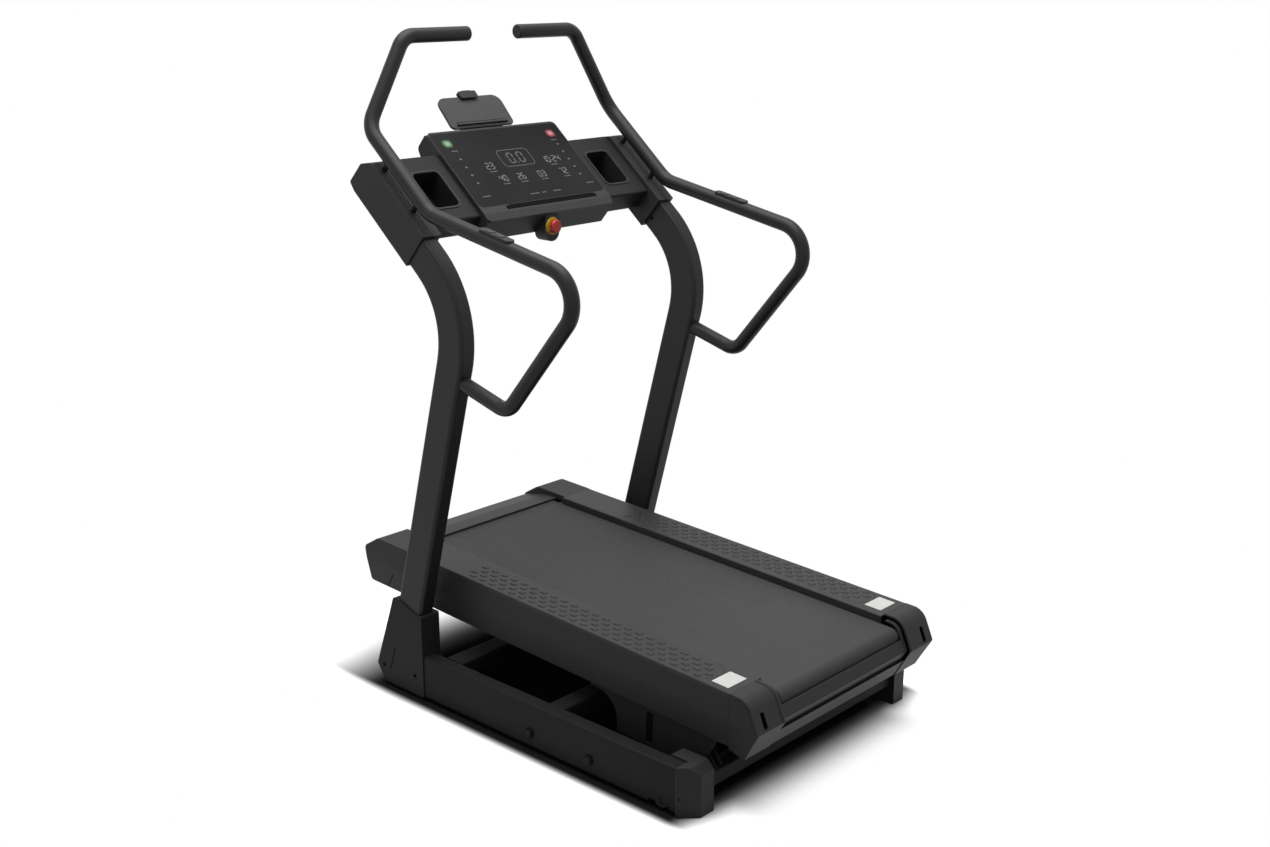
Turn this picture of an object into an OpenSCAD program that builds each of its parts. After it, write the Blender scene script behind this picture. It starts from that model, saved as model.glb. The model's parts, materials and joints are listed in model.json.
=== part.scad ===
// Incline treadmill: a floor frame with two bent uprights, a belt deck that tilts on a rear pivot,
// a screw lift under the deck, and a sloping console between two bent handlebars.
// +X is the user's right, +Y the way the user faces, +Z up. The origin is on the floor, under the
// middle of the treadmill.

/* [Floor frame] */
// Length of the floor frame, from the rear caps to the front of the boots
base_len = 1127; // [1080:1:1250]
// Width of the floor frame over its two rails
base_w = 914; // [880:1:1000]
// Width of a floor rail
rail_w = 42; // [36:1:48]
// Height of a floor rail
rail_h = 117; // [105:1:130]
// Wall of the square steel tubes
tube_wall = 3; // [2:0.5:4]
// Gap between the rails and the floor
floor_gap = 10; // [7:1:14]
// Length of a rear rail cap along its rail
cap_len = 44; // [42:1:48]
// Width of a rear rail cap across the treadmill
cap_w = 85; // [80:1:90]
// Length of a rear rail cap's inner foot
cap_foot_len = 96; // [80:1:100]
// Diameter of a transport wheel
wheel_d = 52; // [44:1:60]
// Distance from the rear of the base to the transport wheels
wheel_y = 98; // [85:1:120]
// Distance from the rear of the base to the front cross beam
front_beam_y = 858; // [820:1:880]
// Distance from the rear of the base to the middle cross beam
mid_beam_y = 476; // [460:1:520]
// Width of the front and middle cross beams
beam_w = 62; // [50:1:70]

/* [Boots and uprights] */
// Width of an upright across the treadmill
upright_w = 47; // [40:1:52]
// Depth of an upright, front to back
upright_d = 92; // [80:1:100]
// Wall of the uprights
upright_wall = 2.5; // [2:0.5:4]
// Lean of the lower leg from the vertical, in degrees
leg_lean = 15.4; // [13:0.1:17]
// Distance from the front of the base back to the knee of the uprights
knee_setback = 371; // [355:1:390]
// Height of the knee, where the lines of leg and arm cross
knee_z = 1090; // [1060:1:1130]
// Bend radius of the knee
knee_r = 240; // [200:5:260]
// Width of a boot across the treadmill
boot_w = 62; // [58:1:66]
// Length of a boot along the rail
boot_len = 193; // [185:1:205]
// Height of a boot at its front
boot_h = 268; // [240:1:290]
// Wall of the moulded covers
shell_wall = 3; // [2:0.5:4]

/* [Deck] */
// Distance from the rear of the base to the deck pivot
pivot_y = 100; // [95:1:105]
// Height of the deck pivot
pivot_z = 135; // [132:1:140]
// Slope of the deck at rest, in degrees
rest_incline = 2.6; // [2:0.1:3.5]
// Length of the deck
deck_len = 1411; // [1395:1:1430]
// How far the deck reaches behind its pivot
deck_tail = 212; // [208:1:220]
// Gap between the deck and a boot
deck_gap = 38; // [30:1:45]
// Height of the foot rails above the pivot
deck_top = 175.5; // [174:0.5:178]
// Height of the deck's sides
side_h = 136; // [132:1:140]
// Width of the foot rails
foot_rail_w = 115; // [108:1:120]
// Length of the front cover
front_cover_len = 178; // [174:1:182]
// Length of a rear end cap
end_cap_len = 88; // [80:1:95]

/* [Belt drive] */
// Width of the running belt
belt_w = 480; // [460:1:484]
// Thickness of the running belt
belt_t = 2.4; // [2:0.1:3]
// Depth of the belt below the foot rails
belt_drop = 18; // [16:0.5:19]
// Thickness of the deck board
board_t = 20; // [18:1:22]
// Height of the cushions under the board
cushion_h = 8; // [6:1:10]
// Radius of the two belt rollers
roller_r = 24; // [22:0.5:25]
// Radius of the roller axles
axle_r = 8; // [6:0.5:10]
// Radius of the front roller's pulley
roller_pulley_r = 25; // [22.5:0.5:25.5]
// Radius of the motor's pulley
motor_pulley_r = 15; // [13:0.5:17]
// Radius of the drive motor
motor_r = 40; // [36:1:42]
// Length of the drive motor
motor_len = 190; // [160:5:200]

/* [Lift] */
// Distance from the rear of the base to the lift's lower pin
lift_y = 180; // [176:1:184]
// Height of the lift's lower pin
lift_z = 46; // [44:1:50]
// Distance from the rear of the base to the lift's upper pin
lug_y = 400; // [392:1:406]
// Height of the lift's upper pin
lug_z = 235; // [230:1:238]
// Radius of the lift pins
lift_pin_r = 7; // [6:0.5:8]
// Clearance round the lift's upper pin
lift_play = 1.4; // [1.3:0.1:2]

/* [Handlebars] */
// Radius of the handlebar tube
bar_r = 19; // [16:0.5:20]
// Wall of the handlebar tube
bar_wall = 2; // [1.5:0.5:3]
// Height of the upper grips
grip_z = 1720; // [1690:1:1750]
// Distance from the middle of the treadmill to the end of an upper grip
grip_inner_x = 96; // [80:1:120]
// Distance from the middle of the treadmill to the bend of an upper grip
grip_outer_x = 301; // [290:1:320]
// Height of the handlebar above the screen's plane
bar_rise = 37; // [33:1:42]
// Length of the side grip
side_grip_len = 560; // [540:1:580]
// Drop of the side grip from front to back
side_grip_drop = 105; // [90:1:120]
// Height at which the handlebar meets the leg
bar_foot_z = 902; // [880:1:910]
// Length of the stub that meets the leg
stub_len = 158; // [150:1:170]

/* [Console] */
// Slope of the screen and the arms above the horizontal, in degrees
console_pitch = 40.7; // [39:0.1:42]
// Distance along the arm from the knee to the screen's lower edge
screen_ahead = 253; // [245:1:265]
// Distance from the arm's centre line up to the screen's face
screen_rise = 55; // [54:1:58]
// Width of the screen
screen_w = 462; // [440:1:480]
// Height of the screen, along its slope
screen_h = 265; // [260:1:272]
// Depth of the screen's housing
housing_d = 62; // [56:1:70]
// Depth of the tray's face below the screen's face
tray_drop = 12; // [10:1:15]
// Depth of the tray
tray_d = 74; // [66:1:80]
// Width of a cup holder
cup_w = 84; // [76:1:86]
// Length of a cup holder, along the slope
cup_len = 117; // [105:1:125]
// Width of the tablet rest
rest_w = 226; // [200:1:240]
// Height of the tablet rest, along its slope
rest_h = 102; // [95:1:110]
// Radius of the emergency stop button
stop_r = 18; // [16:0.5:19]
// Travel of the emergency stop button
stop_travel = 4; // [3:0.5:5]

/* [Hidden] */
$fn = 64;

steel = "#2b2c2e";
plastic = "#232426";
rubber = "#1a1a1b";
bare_steel = "#8d9095";
belt_black = "#303133";

run_gap = 0.05;         // radial gap between a shaft and its bore
skin_gap = 0.3;         // gap between curved faces that turn past each other
seat_gap = 0.5;         // gap between a cover and the tube inside it
bend_swell = 0.15;      // growth of a tube's section in a bend
lap = 1;                // how far a straight tube runs into a bend

// ---- where the main points stand

function spin(p, a) = [p[0] * cos(a) - p[1] * sin(a), p[0] * sin(a) + p[1] * cos(a)];
function unit(v) = v / norm(v);

// A point of the deck's own section, u along the deck and v square to it from the pivot, as [y, z]
function deck_point(p) = [pivot_y, pivot_z] + spin(p, rest_incline);
// A point [y, z] in the deck's own section
function in_deck(p) = spin(p - [pivot_y, pivot_z], -rest_incline);
// A point of the console's section, s up the slope and n square to the screen, as [y, z]
function console_point(s, n) =
    [knee_y, knee_z] + spin([screen_ahead + s, n + screen_rise], console_pitch);

deck_nose = deck_len - deck_tail;
nose_v = deck_top - 38;
tail_v = deck_top - 74;
skirt_v = deck_top - side_h;

knee_y = base_len - knee_setback;
function leg_y(z) = knee_y + (knee_z - z) * tan(leg_lean);
leg_half = upright_d / 2 / cos(leg_lean);
rail_top = floor_gap + rail_h;
rail_x = base_w / 2 - rail_w / 2;
side_x = base_w / 2;
upright_x = side_x - 1 - upright_w / 2;
boot_x = side_x + shell_wall - boot_w / 2;
deck_w = 2 * (side_x + shell_wall - boot_w - deck_gap);

belt_top = deck_top - belt_drop;
loop_r = roller_r + skin_gap + belt_t;
roller_v = belt_top - loop_r;
rear_roller_u = -deck_tail + 56;
front_cover_u = deck_nose - front_cover_len;
front_roller_u = front_cover_u + 55;
motor_u = front_roller_u + 64;
motor_v = roller_v - 43;
board_top = belt_top - belt_t;
frame_top = board_top - board_t - cushion_h;
frame_w = 40;
frame_x = deck_w / 2 - 35;
frame_in = frame_x - frame_w / 2;
frame_out = frame_x + frame_w / 2;
panel_t = 2.5;
frame_low = skirt_v + panel_t;
end_cap_u = -deck_tail + end_cap_len;
foot_rail_in = deck_w / 2 - foot_rail_w;
cap_in = foot_rail_in + 14;

// ---- helpers

module on_floor() translate([0, shift_y, 0]) children();
module on_deck() on_floor() translate([0, pivot_y, pivot_z]) rotate([rest_incline, 0, 0]) children();
module on_console(s = 0, n = 0)
    on_floor() translate([0, console_point(s, n)[0], console_point(s, n)[1]])
        rotate([console_pitch, 0, 0]) children();
module right(x = 0) translate([x, 0, 0]) children();
module both_sides() {
    children();
    mirror([1, 0, 0]) children();
}
// A section drawn as [y, z], drawn out along X from x0 to x1
module across(x0, x1) right(x0) rotate([90, 0, 90]) linear_extrude(x1 - x0) children();
// A round bar or disc along X
module rod_x(x0, x1, r) right(x0) rotate([0, 90, 0]) cylinder(h = x1 - x0, r = r);

// Corner i of an outline: where its fillet starts, where it ends, its centre and its sense
function corner(pts, radii, i) =
    let (n = len(pts), q = pts[i])
    let (d1 = unit(q - pts[(i + n - 1) % n]), d2 = unit(pts[(i + 1) % n] - q))
    let (side = sign(cross(d1, d2)), a = acos(min(1, max(-1, d1 * d2))), t = radii[i] * tan(a / 2))
    [q - d1 * t, q + d2 * t, q - d1 * t + side * radii[i] * [-d1[1], d1[0]], side];
// An outline drawn anticlockwise, with each corner rounded by a true arc
module soft_outline(pts, radii) {
    corners = [for (i = [0:len(pts) - 1]) corner(pts, radii, i)];
    difference() {
        union() {
            polygon([for (c = corners) each [c[0], c[1]]]);
            for (i = [0:len(pts) - 1])
                if (radii[i] > 0 && corners[i][3] > 0) translate(corners[i][2]) circle(radii[i]);
        }
        for (i = [0:len(pts) - 1])
            if (radii[i] > 0 && corners[i][3] < 0) translate(corners[i][2]) circle(radii[i]);
    }
}
// The same outline drawn in by w, and the radii that its corners then have
function inset(pts, w) = [for (i = [0:len(pts) - 1])
    let (n = len(pts), d1 = unit(pts[i] - pts[(i + n - 1) % n]), d2 = unit(pts[(i + 1) % n] - pts[i]))
    let (n1 = [-d1[1], d1[0]], n2 = [-d2[1], d2[0]])
    pts[i] + w * (n1 + n2) / (1 + n1 * n2)];
function inset_radii(pts, radii, w) = [for (i = [0:len(pts) - 1])
    radii[i] == 0 ? 0 : max(0, radii[i] - corner(pts, radii, i)[3] * w)];
// A closed shell with the outline as its outside
module shell(x0, x1, pts, radii, wall) difference() {
    across(x0, x1) soft_outline(pts, radii);
    across(x0 + wall, x1 - wall) soft_outline(inset(pts, wall), inset_radii(pts, radii, wall));
}
module rounded_rect(w, d, r) {
    square([w - 2 * r, d], center = true);
    square([w, d - 2 * r], center = true);
    for (i = [-1, 1], j = [-1, 1]) translate([i * (w / 2 - r), j * (d / 2 - r)]) circle(r);
}
module box_section(w, d, r, wall) difference() {
    rounded_rect(w, d, r);
    rounded_rect(w - 2 * wall, d - 2 * wall, r - wall * 0.7);
}
// A beam across the treadmill, its section centred on [y, z]
module beam_x(half_len, y, z, w, h) translate([-half_len, y, z])
    rotate([90, 0, 90]) linear_extrude(2 * half_len) box_section(w, h, 5, tube_wall);

// Straight and bent stretches of round tube
function place(x, y, z, o) =
    [[x[0], y[0], z[0], o[0]], [x[1], y[1], z[1], o[1]], [x[2], y[2], z[2], o[2]], [0, 0, 0, 1]];
function square_to(d) = unit(cross(d, abs(d[2]) < 0.9 ? [0, 0, 1] : [1, 0, 0]));
module ring(r, wall) difference() {
    circle(r);
    circle(r - wall);
}
module tube_run(a, b, r, wall) {
    d = unit(b - a);
    x = square_to(d);
    multmatrix(place(x, cross(d, x), d, a)) linear_extrude(norm(b - a)) ring(r, wall);
}
module tube_bend(p, q, s, bend_r, r, wall) {
    d1 = unit(q - p);
    d2 = unit(s - q);
    inward = unit(d2 - d1 * (d1 * d2));
    centre = q - d1 * cut_back(p, q, s, bend_r) + inward * bend_r;
    multmatrix(place(-inward, d1, cross(-inward, d1), centre))
        rotate_extrude(angle = acos(d1 * d2)) translate([bend_r, 0]) ring(r + bend_swell, wall);
}
function cut_back(p, q, s, bend_r) = bend_r * tan(acos(unit(q - p) * unit(s - q)) / 2);
function bend_cut(pts, bends, i) =
    bends[i] == 0 ? 0 : cut_back(pts[i - 1], pts[i], pts[i + 1], bends[i]) - lap;
module bent_tube(pts, bends, r, wall) {
    for (i = [0:len(pts) - 2]) {
        d = unit(pts[i + 1] - pts[i]);
        tube_run(pts[i] + d * bend_cut(pts, bends, i), pts[i + 1] - d * bend_cut(pts, bends, i + 1),
            r, wall);
    }
    for (i = [1:len(pts) - 2]) tube_bend(pts[i - 1], pts[i], pts[i + 1], bends[i], r, wall);
}

// ---- floor frame

rail_front = base_len - 38;
// One rail: a rectangular tube, notched below for its transport wheel
module base_rail() on_floor() difference() {
    translate([rail_x, cap_len, rail_top - rail_h / 2]) rotate([-90, 0, 0])
        linear_extrude(rail_front - cap_len) box_section(rail_w, rail_h, 6, tube_wall);
    translate([rail_x - rail_w / 2 - 1, wheel_y - wheel_d / 2 - 6, floor_gap - 1])
        cube([rail_w + 2, wheel_d + 12, notch_h + 1]);
    on_rail_bolts() rod_x(-rail_w, rail_w, bolt_r + 0.2);
    translate([rail_x, wheel_y, wheel_z]) rod_x(-rail_w, rail_w, wheel_bore_r + 0.05);
}
notch_h = 11;
bolt_r = 5;
rail_bolt_y = [322, 528];
rail_bolt_z = 49;
module on_rail_bolts() for (y = rail_bolt_y) translate([rail_x, y, rail_bolt_z]) children();
module base_rail_right() color(steel) base_rail();
module base_rail_left() color(steel) mirror([1, 0, 0]) base_rail();

// Front, middle and lift beams between the rails, the last with the lift's lower clevis
module base_crossbeams() color(steel) on_floor() {
    beam_x(rail_in, front_beam_y, rail_top - beam_h / 2, beam_w, beam_h);
    beam_x(rail_in, mid_beam_y, rail_top - beam_h / 2 - 4, beam_w - 8, beam_h);
    difference() {
        union() {
            beam_x(rail_in, lift_beam_y, lift_beam_z, lift_beam_w, lift_beam_w);
            for (x = [-clevis_gap / 2 - clevis_t, clevis_gap / 2])
                across(x, x + clevis_t) clevis_outline();
        }
        translate([0, lift_y, lift_z]) rod_x(-60, 60, lift_pin_r + run_gap);
    }
}
beam_h = 46;
rail_in = rail_x - rail_w / 2;
lift_beam_w = 36;
lift_beam_y = lift_y - 52;
lift_beam_z = floor_gap + 4 + lift_beam_w / 2;
clevis_t = 6;
clevis_gap = 34;
module clevis_outline() soft_outline(
    [[lift_beam_y + lift_beam_w / 2 - 2, lift_beam_z - 15], [lift_y + 14, lift_z - 14],
     [lift_y + 14, lift_z + 14], [lift_beam_y + lift_beam_w / 2 - 2, lift_beam_z + 16]],
    [0, 13, 13, 0]);

// Rear beam with two pairs of cheeks that carry the deck's pivot pins
pivot_beam_y = 34;
pivot_beam_w = 38;
pivot_beam_z = 69;
arm_t = 10;
cheek_t = 8;
arm_x = frame_x;
pivot_pin_r = 8;
module pivot_crossbeam() color(steel) on_floor() {
    difference() {
        union() {
            beam_x(rail_in, pivot_beam_y, pivot_beam_z, pivot_beam_w, pivot_beam_w);
            both_sides() for (x = [arm_x - arm_t / 2 - 1 - cheek_t, arm_x + arm_t / 2 + 1])
                across(x, x + cheek_t) cheek_outline();
        }
        both_sides() translate([0, pivot_y, pivot_z]) rod_x(arm_x - 30, arm_x + 30, pivot_pin_r + run_gap);
    }
}
module cheek_outline() soft_outline(
    [[pivot_beam_y - 12, pivot_beam_z + pivot_beam_w / 2 - 2],
        [pivot_beam_y + pivot_beam_w / 2 - 2, pivot_beam_z - 14],
     [pivot_y + 20, pivot_z - 20], [pivot_y + 20, pivot_z + 20], [pivot_y - 22, pivot_z + 20]],
    [0, 0, 19, 19, 19]);

// Rear caps: a plug for the rail, a broad foot that holds the rear beam's end, a large chamfer on
// the outer corner and a sloping top
cap_chamfer = 29;
module cap_side_view(len) soft_outline(
    [[0, 0], [len, 0], [len, rail_top + 2], [20, rail_top + 2], [0, rail_top - 18]], [4, 2, 2, 10, 8]);
module rail_end_cap() on_floor() difference() {
    union() {
        across(side_x - cap_w, side_x + 1) cap_side_view(cap_len);
        across(side_x - cap_w, rail_in - seat_gap) cap_side_view(cap_foot_len);
        translate([rail_x, cap_len - 1, rail_top - rail_h / 2]) rotate([-90, 0, 0]) linear_extrude(16)
            rounded_rect(rail_w - 2 * tube_wall - seat_gap, rail_h - 2 * tube_wall - seat_gap, 3);
    }
    translate([side_x + 1, 0, -1]) rotate([0, 0, 45])
        translate([-cap_chamfer, -cap_chamfer, 0])
            cube([2 * cap_chamfer, 2 * cap_chamfer, rail_top + 10]);
    translate([side_x + 1, cap_len - 9, rail_bolt_z]) rod_x(-6, 2, 5);
    // pocket for the rear beam
    translate([side_x - cap_w - 1, pivot_beam_y - pivot_beam_w / 2 - seat_gap,
               pivot_beam_z - pivot_beam_w / 2 - seat_gap])
        cube([rail_in + seat_gap - side_x + cap_w + 1, pivot_beam_w + 2 * seat_gap,
              pivot_beam_w + 2 * seat_gap]);
}
module rail_end_caps() color(plastic) both_sides() rail_end_cap();

// Rubber feet under the boots
foot_r = 27;
foot_ys = [base_len - boot_len + 36, base_len - 66];
module front_feet() color(rubber) both_sides() on_floor() for (y = foot_ys)
    translate([rail_x - 2, y, 0]) {
        cylinder(h = floor_gap, r1 = foot_r / 2 - 3, r2 = foot_r / 2 - 3);
        cylinder(h = floor_gap - 3, r = foot_r / 2 + 2);
    }

// Transport wheel: a tyre with a hub, on a shoulder bolt
wheel_w = 24;
wheel_z = wheel_d / 2 + 2;
wheel_bore_r = 5;
module wheel() on_floor() translate([rail_x, wheel_y, wheel_z]) rotate([0, 90, 0]) difference() {
    rotate_extrude() soft_outline(
        [[wheel_bore_r + run_gap, -wheel_w / 2], [12, -wheel_w / 2], [12, -wheel_w / 2 + 4],
            [17, -wheel_w / 2 + 4],
         [17, -wheel_w / 2], [wheel_d / 2, -wheel_w / 2], [wheel_d / 2, wheel_w / 2], [17, wheel_w / 2],
         [17, wheel_w / 2 - 4], [12, wheel_w / 2 - 4], [12, wheel_w / 2],
             [wheel_bore_r + run_gap, wheel_w / 2]],
        [0, 1, 1, 1, 1, 4, 4, 1, 1, 1, 1, 0]);
}
module transport_wheel_right() color(rubber) wheel();
module transport_wheel_left() color(rubber) mirror([1, 0, 0]) wheel();

// ---- boots and uprights

boot_rear = base_len - boot_len;
boot_top_front = leg_y(boot_h) + leg_half + shell_wall + 14;
boot_nose_z = 55;
boot_pts = [[boot_rear, floor_gap], [base_len - 32, floor_gap], [base_len, boot_nose_z],
            [boot_top_front, boot_h], [leg_y(boot_h) + leg_half, boot_h], [boot_rear + 22, boot_h - 26],
            [boot_rear, boot_h - 26]];
boot_radii = [3, 8, 12, 7, 20, 24, 5];
boot_in = boot_x - boot_w / 2;
boot_out = boot_x + boot_w / 2;
// A boot: a moulded cover over the foot of the upright and the front of the rail, open below
module boot() on_floor() difference() {
    shell(boot_in, boot_out, boot_pts, boot_radii, shell_wall);
    along_leg(upright_w + 2 * seat_gap, upright_d + 2 * seat_gap, 10);
    translate([rail_in - seat_gap, boot_rear - 1, 0])
        cube([rail_w + 2 * seat_gap, rail_front - boot_rear + 1 + seat_gap, rail_top + seat_gap]);
    for (p = boot_screws) translate([boot_out, p[0], p[1]]) rod_x(-2, 1, 5);
}
boot_screws = [[boot_rear + 35, 64], [base_len - 27, 57]];
// The room that the straight lower leg takes up
knee_turn = 90 - console_pitch + leg_lean;
leg_cut = knee_r * tan(knee_turn / 2);
leg_len = (knee_z - floor_gap) / cos(leg_lean);
module along_leg(w, d, r) translate([upright_x, knee_y, knee_z]) rotate([leg_lean, 0, 0])
    translate([0, 0, -leg_len]) linear_extrude(leg_len - leg_cut) rounded_rect(w, d, r);
module boot_right() color(plastic) boot();
module boot_left() color(plastic) mirror([1, 0, 0]) boot();

cover_high = 218;
// Upright: a bent tube with a leaning leg, a knee and a sloping arm
arm_len = screen_ahead + cover_high - 30;
module upright() on_floor() difference() {
    translate([upright_x, knee_y, knee_z]) {
        rotate([leg_lean, 0, 0]) translate([0, 0, -leg_len])
            linear_extrude(leg_len - leg_cut + lap) box_section(upright_w, upright_d, 10, upright_wall);
        rotate([console_pitch - 90, 0, 0]) translate([0, 0, leg_cut - lap])
            linear_extrude(arm_len - leg_cut) box_section(upright_w, upright_d, 10, upright_wall);
        rotate([leg_lean, 0, 0]) multmatrix(place([0, -1, 0], [0, 0, 1], [-1, 0, 0], [0, knee_r, -leg_cut]))
            rotate_extrude(angle = knee_turn) translate([knee_r, 0])
                box_section(upright_d + 2 * bend_swell, upright_w + 2 * bend_swell, 10, upright_wall);
    }
    translate([rail_in - 20, boot_rear - 20, -1]) cube([rail_w + 40, boot_len + 60, rail_top + 1]);
}
module upright_right() color(steel) upright();
module upright_left() color(steel) mirror([1, 0, 0]) upright();

// Cover of an arm: a long moulded shell round the top of the upright, drawn as [s, n]
cover_w = 60;
cover_x = side_x + shell_wall - cover_w / 2;
cover_low = -60;
cover_top_n = -screen_rise + upright_d / 2 + shell_wall + seat_gap + 4;
cover_bottom_n = -screen_rise - upright_d / 2 - shell_wall - seat_gap;
cover_pts = [[cover_low, cover_bottom_n], [cover_high - 22, cover_bottom_n],
    [cover_high + 4, cover_bottom_n + 7],
             [cover_high, -30], [cover_high - 26, cover_top_n], [cover_low, cover_top_n]];
cover_radii = [0, 12, 6, 14, 16, 0];
module upright_cover() on_console() difference() {
    shell(cover_x - cover_w / 2, cover_x + cover_w / 2, cover_pts, cover_radii, shell_wall);
    translate([upright_x, cover_low - 1, -screen_rise]) rotate([-90, 0, 0]) linear_extrude(shell_wall + 2)
        rounded_rect(upright_w + 2 * seat_gap, upright_d + 2 * seat_gap, 10);
    // parting line between the outer and the inner half
    translate([cover_x - 1, cover_low - 1, cover_top_n - 1.2]) cube([1.6, cover_high - cover_low - 30, 3]);
    for (s = bar_studs) translate([bar_x, s, 0]) cylinder(h = 60, r = stud_r + seat_gap, center = true);
    beam_room(cover_x - cover_w / 2 - 1, cover_x - cover_w / 2 + 7);
}
module upright_cover_right() color(plastic) upright_cover();
module upright_cover_left() color(plastic) mirror([1, 0, 0]) upright_cover();

// ---- handlebars

bar_x = upright_x;
stud_r = 7;
bar_studs = [25, 165];
function at_x(x, p) = [x, p[0], p[1]];
bar_low = at_x(bar_x, console_point(-23, bar_rise));
bar_high = at_x(bar_x, console_point(273, bar_rise));
bar_top_y = bar_high[1] + 9;
bar_back = bar_low - [0, side_grip_len - 9, side_grip_drop];
bar_foot = [bar_x, leg_y(bar_foot_z) - leg_half, bar_foot_z];
bar_elbow = bar_foot - stub_len * [0, cos(leg_lean), sin(leg_lean)];
bar_route = [[grip_inner_x, bar_top_y, grip_z], [grip_outer_x, bar_top_y, grip_z], bar_high, bar_low,
             bar_back, bar_elbow, bar_foot];
bar_bends = [0, 52, 75, 85, 78, 50, 0];
// Handlebar: one bent tube with two studs that bolt it to the arm
module handlebar() color(steel) {
    on_floor() bent_tube(bar_route, bar_bends, bar_r, bar_wall);
    on_console() for (s = bar_studs) translate([bar_x, s, stud_foot_n])
        cylinder(h = bar_rise - bar_r + bar_wall - stud_foot_n - 0.6, r = stud_r);
}
stud_foot_n = -screen_rise + upright_d / 2;
module handlebar_right() handlebar();
module handlebar_left() mirror([1, 0, 0]) handlebar();

// Domed plugs in the ends of the upper grips
module handlebar_plugs() color(plastic) both_sides() on_floor()
    translate([grip_inner_x, bar_top_y, grip_z]) rotate([0, 90, 0]) {
        translate([0, 0, -plug_dome]) rotate_extrude()
            soft_outline([[0, 0], [bar_r, 0], [bar_r, plug_dome], [0, plug_dome]],
                [0, plug_dome / 2, 0, 0]);
        cylinder(h = 25, r = bar_r - bar_wall - run_gap);
    }
plug_dome = 9;

// ---- keys on the side grips

side_dir = unit(bar_back - bar_low);
side_pitch = atan2(side_dir[2], side_dir[1]) + 180;
pod_from = 184;
pod_len = 108;
pod_w = 26;
key_gap = 0.35;
key_len = 26;
key_wid = 16;
key_ats = [pod_from + 30, pod_from + 66];
key_travel = 1;
key_proud = 1.6;
key_depth = 4;
pod_face = bar_r + 3.5;
// A point on the side grip: a along it from the front bend, with z square to it
module on_side_grip(a) on_floor() translate(bar_low + side_dir * a) rotate([side_pitch, 0, 0]) children();
// Pod: a low moulding clipped on the grip, with two key wells
module key_pod() difference() {
    on_side_grip(pod_from + pod_len / 2) difference() {
        translate([0, 0, bar_r - 6]) linear_extrude(pod_face - bar_r + 6)
            rounded_rect(pod_w, pod_len, 10);
        rotate([90, 0, 0]) cylinder(h = pod_len + 2, r = bar_r + seat_gap / 4, center = true);
    }
    for (a = key_ats) on_side_grip(a) translate([0, 0, pod_face - key_depth]) linear_extrude(key_depth + 1)
        rounded_rect(key_wid + 2 * key_gap, key_len + 2 * key_gap, 5);
}
module key_pods() color(plastic) both_sides() key_pod();
key_clear = 0.8;
module key_cap(a) on_side_grip(a) translate([0, 0, pod_face - key_depth + key_travel + key_clear])
    linear_extrude(key_depth - key_travel - key_clear + key_proud) rounded_rect(key_wid, key_len, 5);
module incline_up_key() color("#3a3b3d") mirror([1, 0, 0]) key_cap(key_ats[0]);
module incline_down_key() color("#3a3b3d") mirror([1, 0, 0]) key_cap(key_ats[1]);
module speed_up_key() color("#3a3b3d") key_cap(key_ats[0]);
module speed_down_key() color("#3a3b3d") key_cap(key_ats[1]);

// ---- console, drawn on the slope: s up the slope, n square to the screen

arm_in = upright_x - upright_w / 2;
cover_in = cover_x - cover_w / 2;
console_beam_w = 40;
console_beam_h = 38;
cup_low = 31;
beam_s = cup_low + cup_len + shell_wall + 3 + console_beam_w / 2;
beam_n = -screen_rise - 4;
// Steel beam between the arms, and the room that the covers leave for it
module beam_room(x0, x1) translate([0, beam_s, beam_n]) across(x0, x1)
    rounded_rect(console_beam_w + 2 * seat_gap, console_beam_h + 2 * seat_gap, 5.5);
module console_beam() color(steel) on_console() {
    translate([-arm_in, beam_s, beam_n]) rotate([90, 0, 90]) linear_extrude(2 * arm_in)
        box_section(console_beam_w, console_beam_h, 5, tube_wall);
}
// Trays with a cup holder on either side of the screen, each a closed shell with a deep well
tray_low = -14;
tray_high = 206;
tray_in = screen_w / 2 + 1;
cup_in = tray_in + 38;
cup_depth = tray_d - shell_wall - 2;
tray_pts = [[tray_low, -tray_drop - tray_d], [tray_high - 8, -tray_drop - tray_d],
    [tray_high, -tray_drop - tray_d + 12],
            [tray_high, -tray_drop], [tray_low, -tray_drop]];
tray_radii = [14, 10, 10, 6, 5];
module cup_well(grow, top) translate([cup_in + cup_w / 2, cup_low + cup_len / 2,
    -tray_drop - cup_depth - grow])
    linear_extrude(cup_depth + grow + top) rounded_rect(cup_w + 2 * grow, cup_len + 2 * grow, 14 + grow);
module cup_tray() on_console() difference() {
    union() {
        shell(tray_in, cover_in - seat_gap, tray_pts, tray_radii, shell_wall);
        cup_well(shell_wall, -1);
    }
    cup_well(0, 1);
    beam_room(tray_in - 1, cover_in + 1);
}
module console_tray() color(plastic) both_sides() cup_tray();

// Screen housing: a deep shell behind, and a face plate in front that holds the glass
face_t = 8;
apron = 42;
housing_low = tray_drop + tray_d - 3;
housing_top = -face_t - 0.05;
housing_pts = [[-apron, -housing_low], [195, -housing_low], [screen_h + 4, -housing_d + 8],
               [screen_h + 4, housing_top], [-apron, housing_top]];
housing_radii = [8, 30, 14, 0, 0];
module console_back() color(plastic) difference() {
    on_console() difference() {
        across(-screen_w / 2, screen_w / 2) soft_outline(housing_pts, housing_radii);
        across(shell_wall - screen_w / 2, screen_w / 2 - shell_wall) {
            soft_outline(inset(housing_pts, shell_wall),
                inset_radii(housing_pts, housing_radii, shell_wall));
            translate([shell_wall - apron, -face_t - shell_wall - 2])
                square([screen_h + 4 + apron - 2 * shell_wall, shell_wall + 4]);
        }
        beam_room(-screen_w / 2 - 1, screen_w / 2 + 1);
    }
    at_stop() linear_extrude(boss_len) boss_outline(seat_gap);
}
glass_t = 3;
glass_edge = 3;
glass_r = 14;
groove_w = 330;
groove_x = 20;
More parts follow.
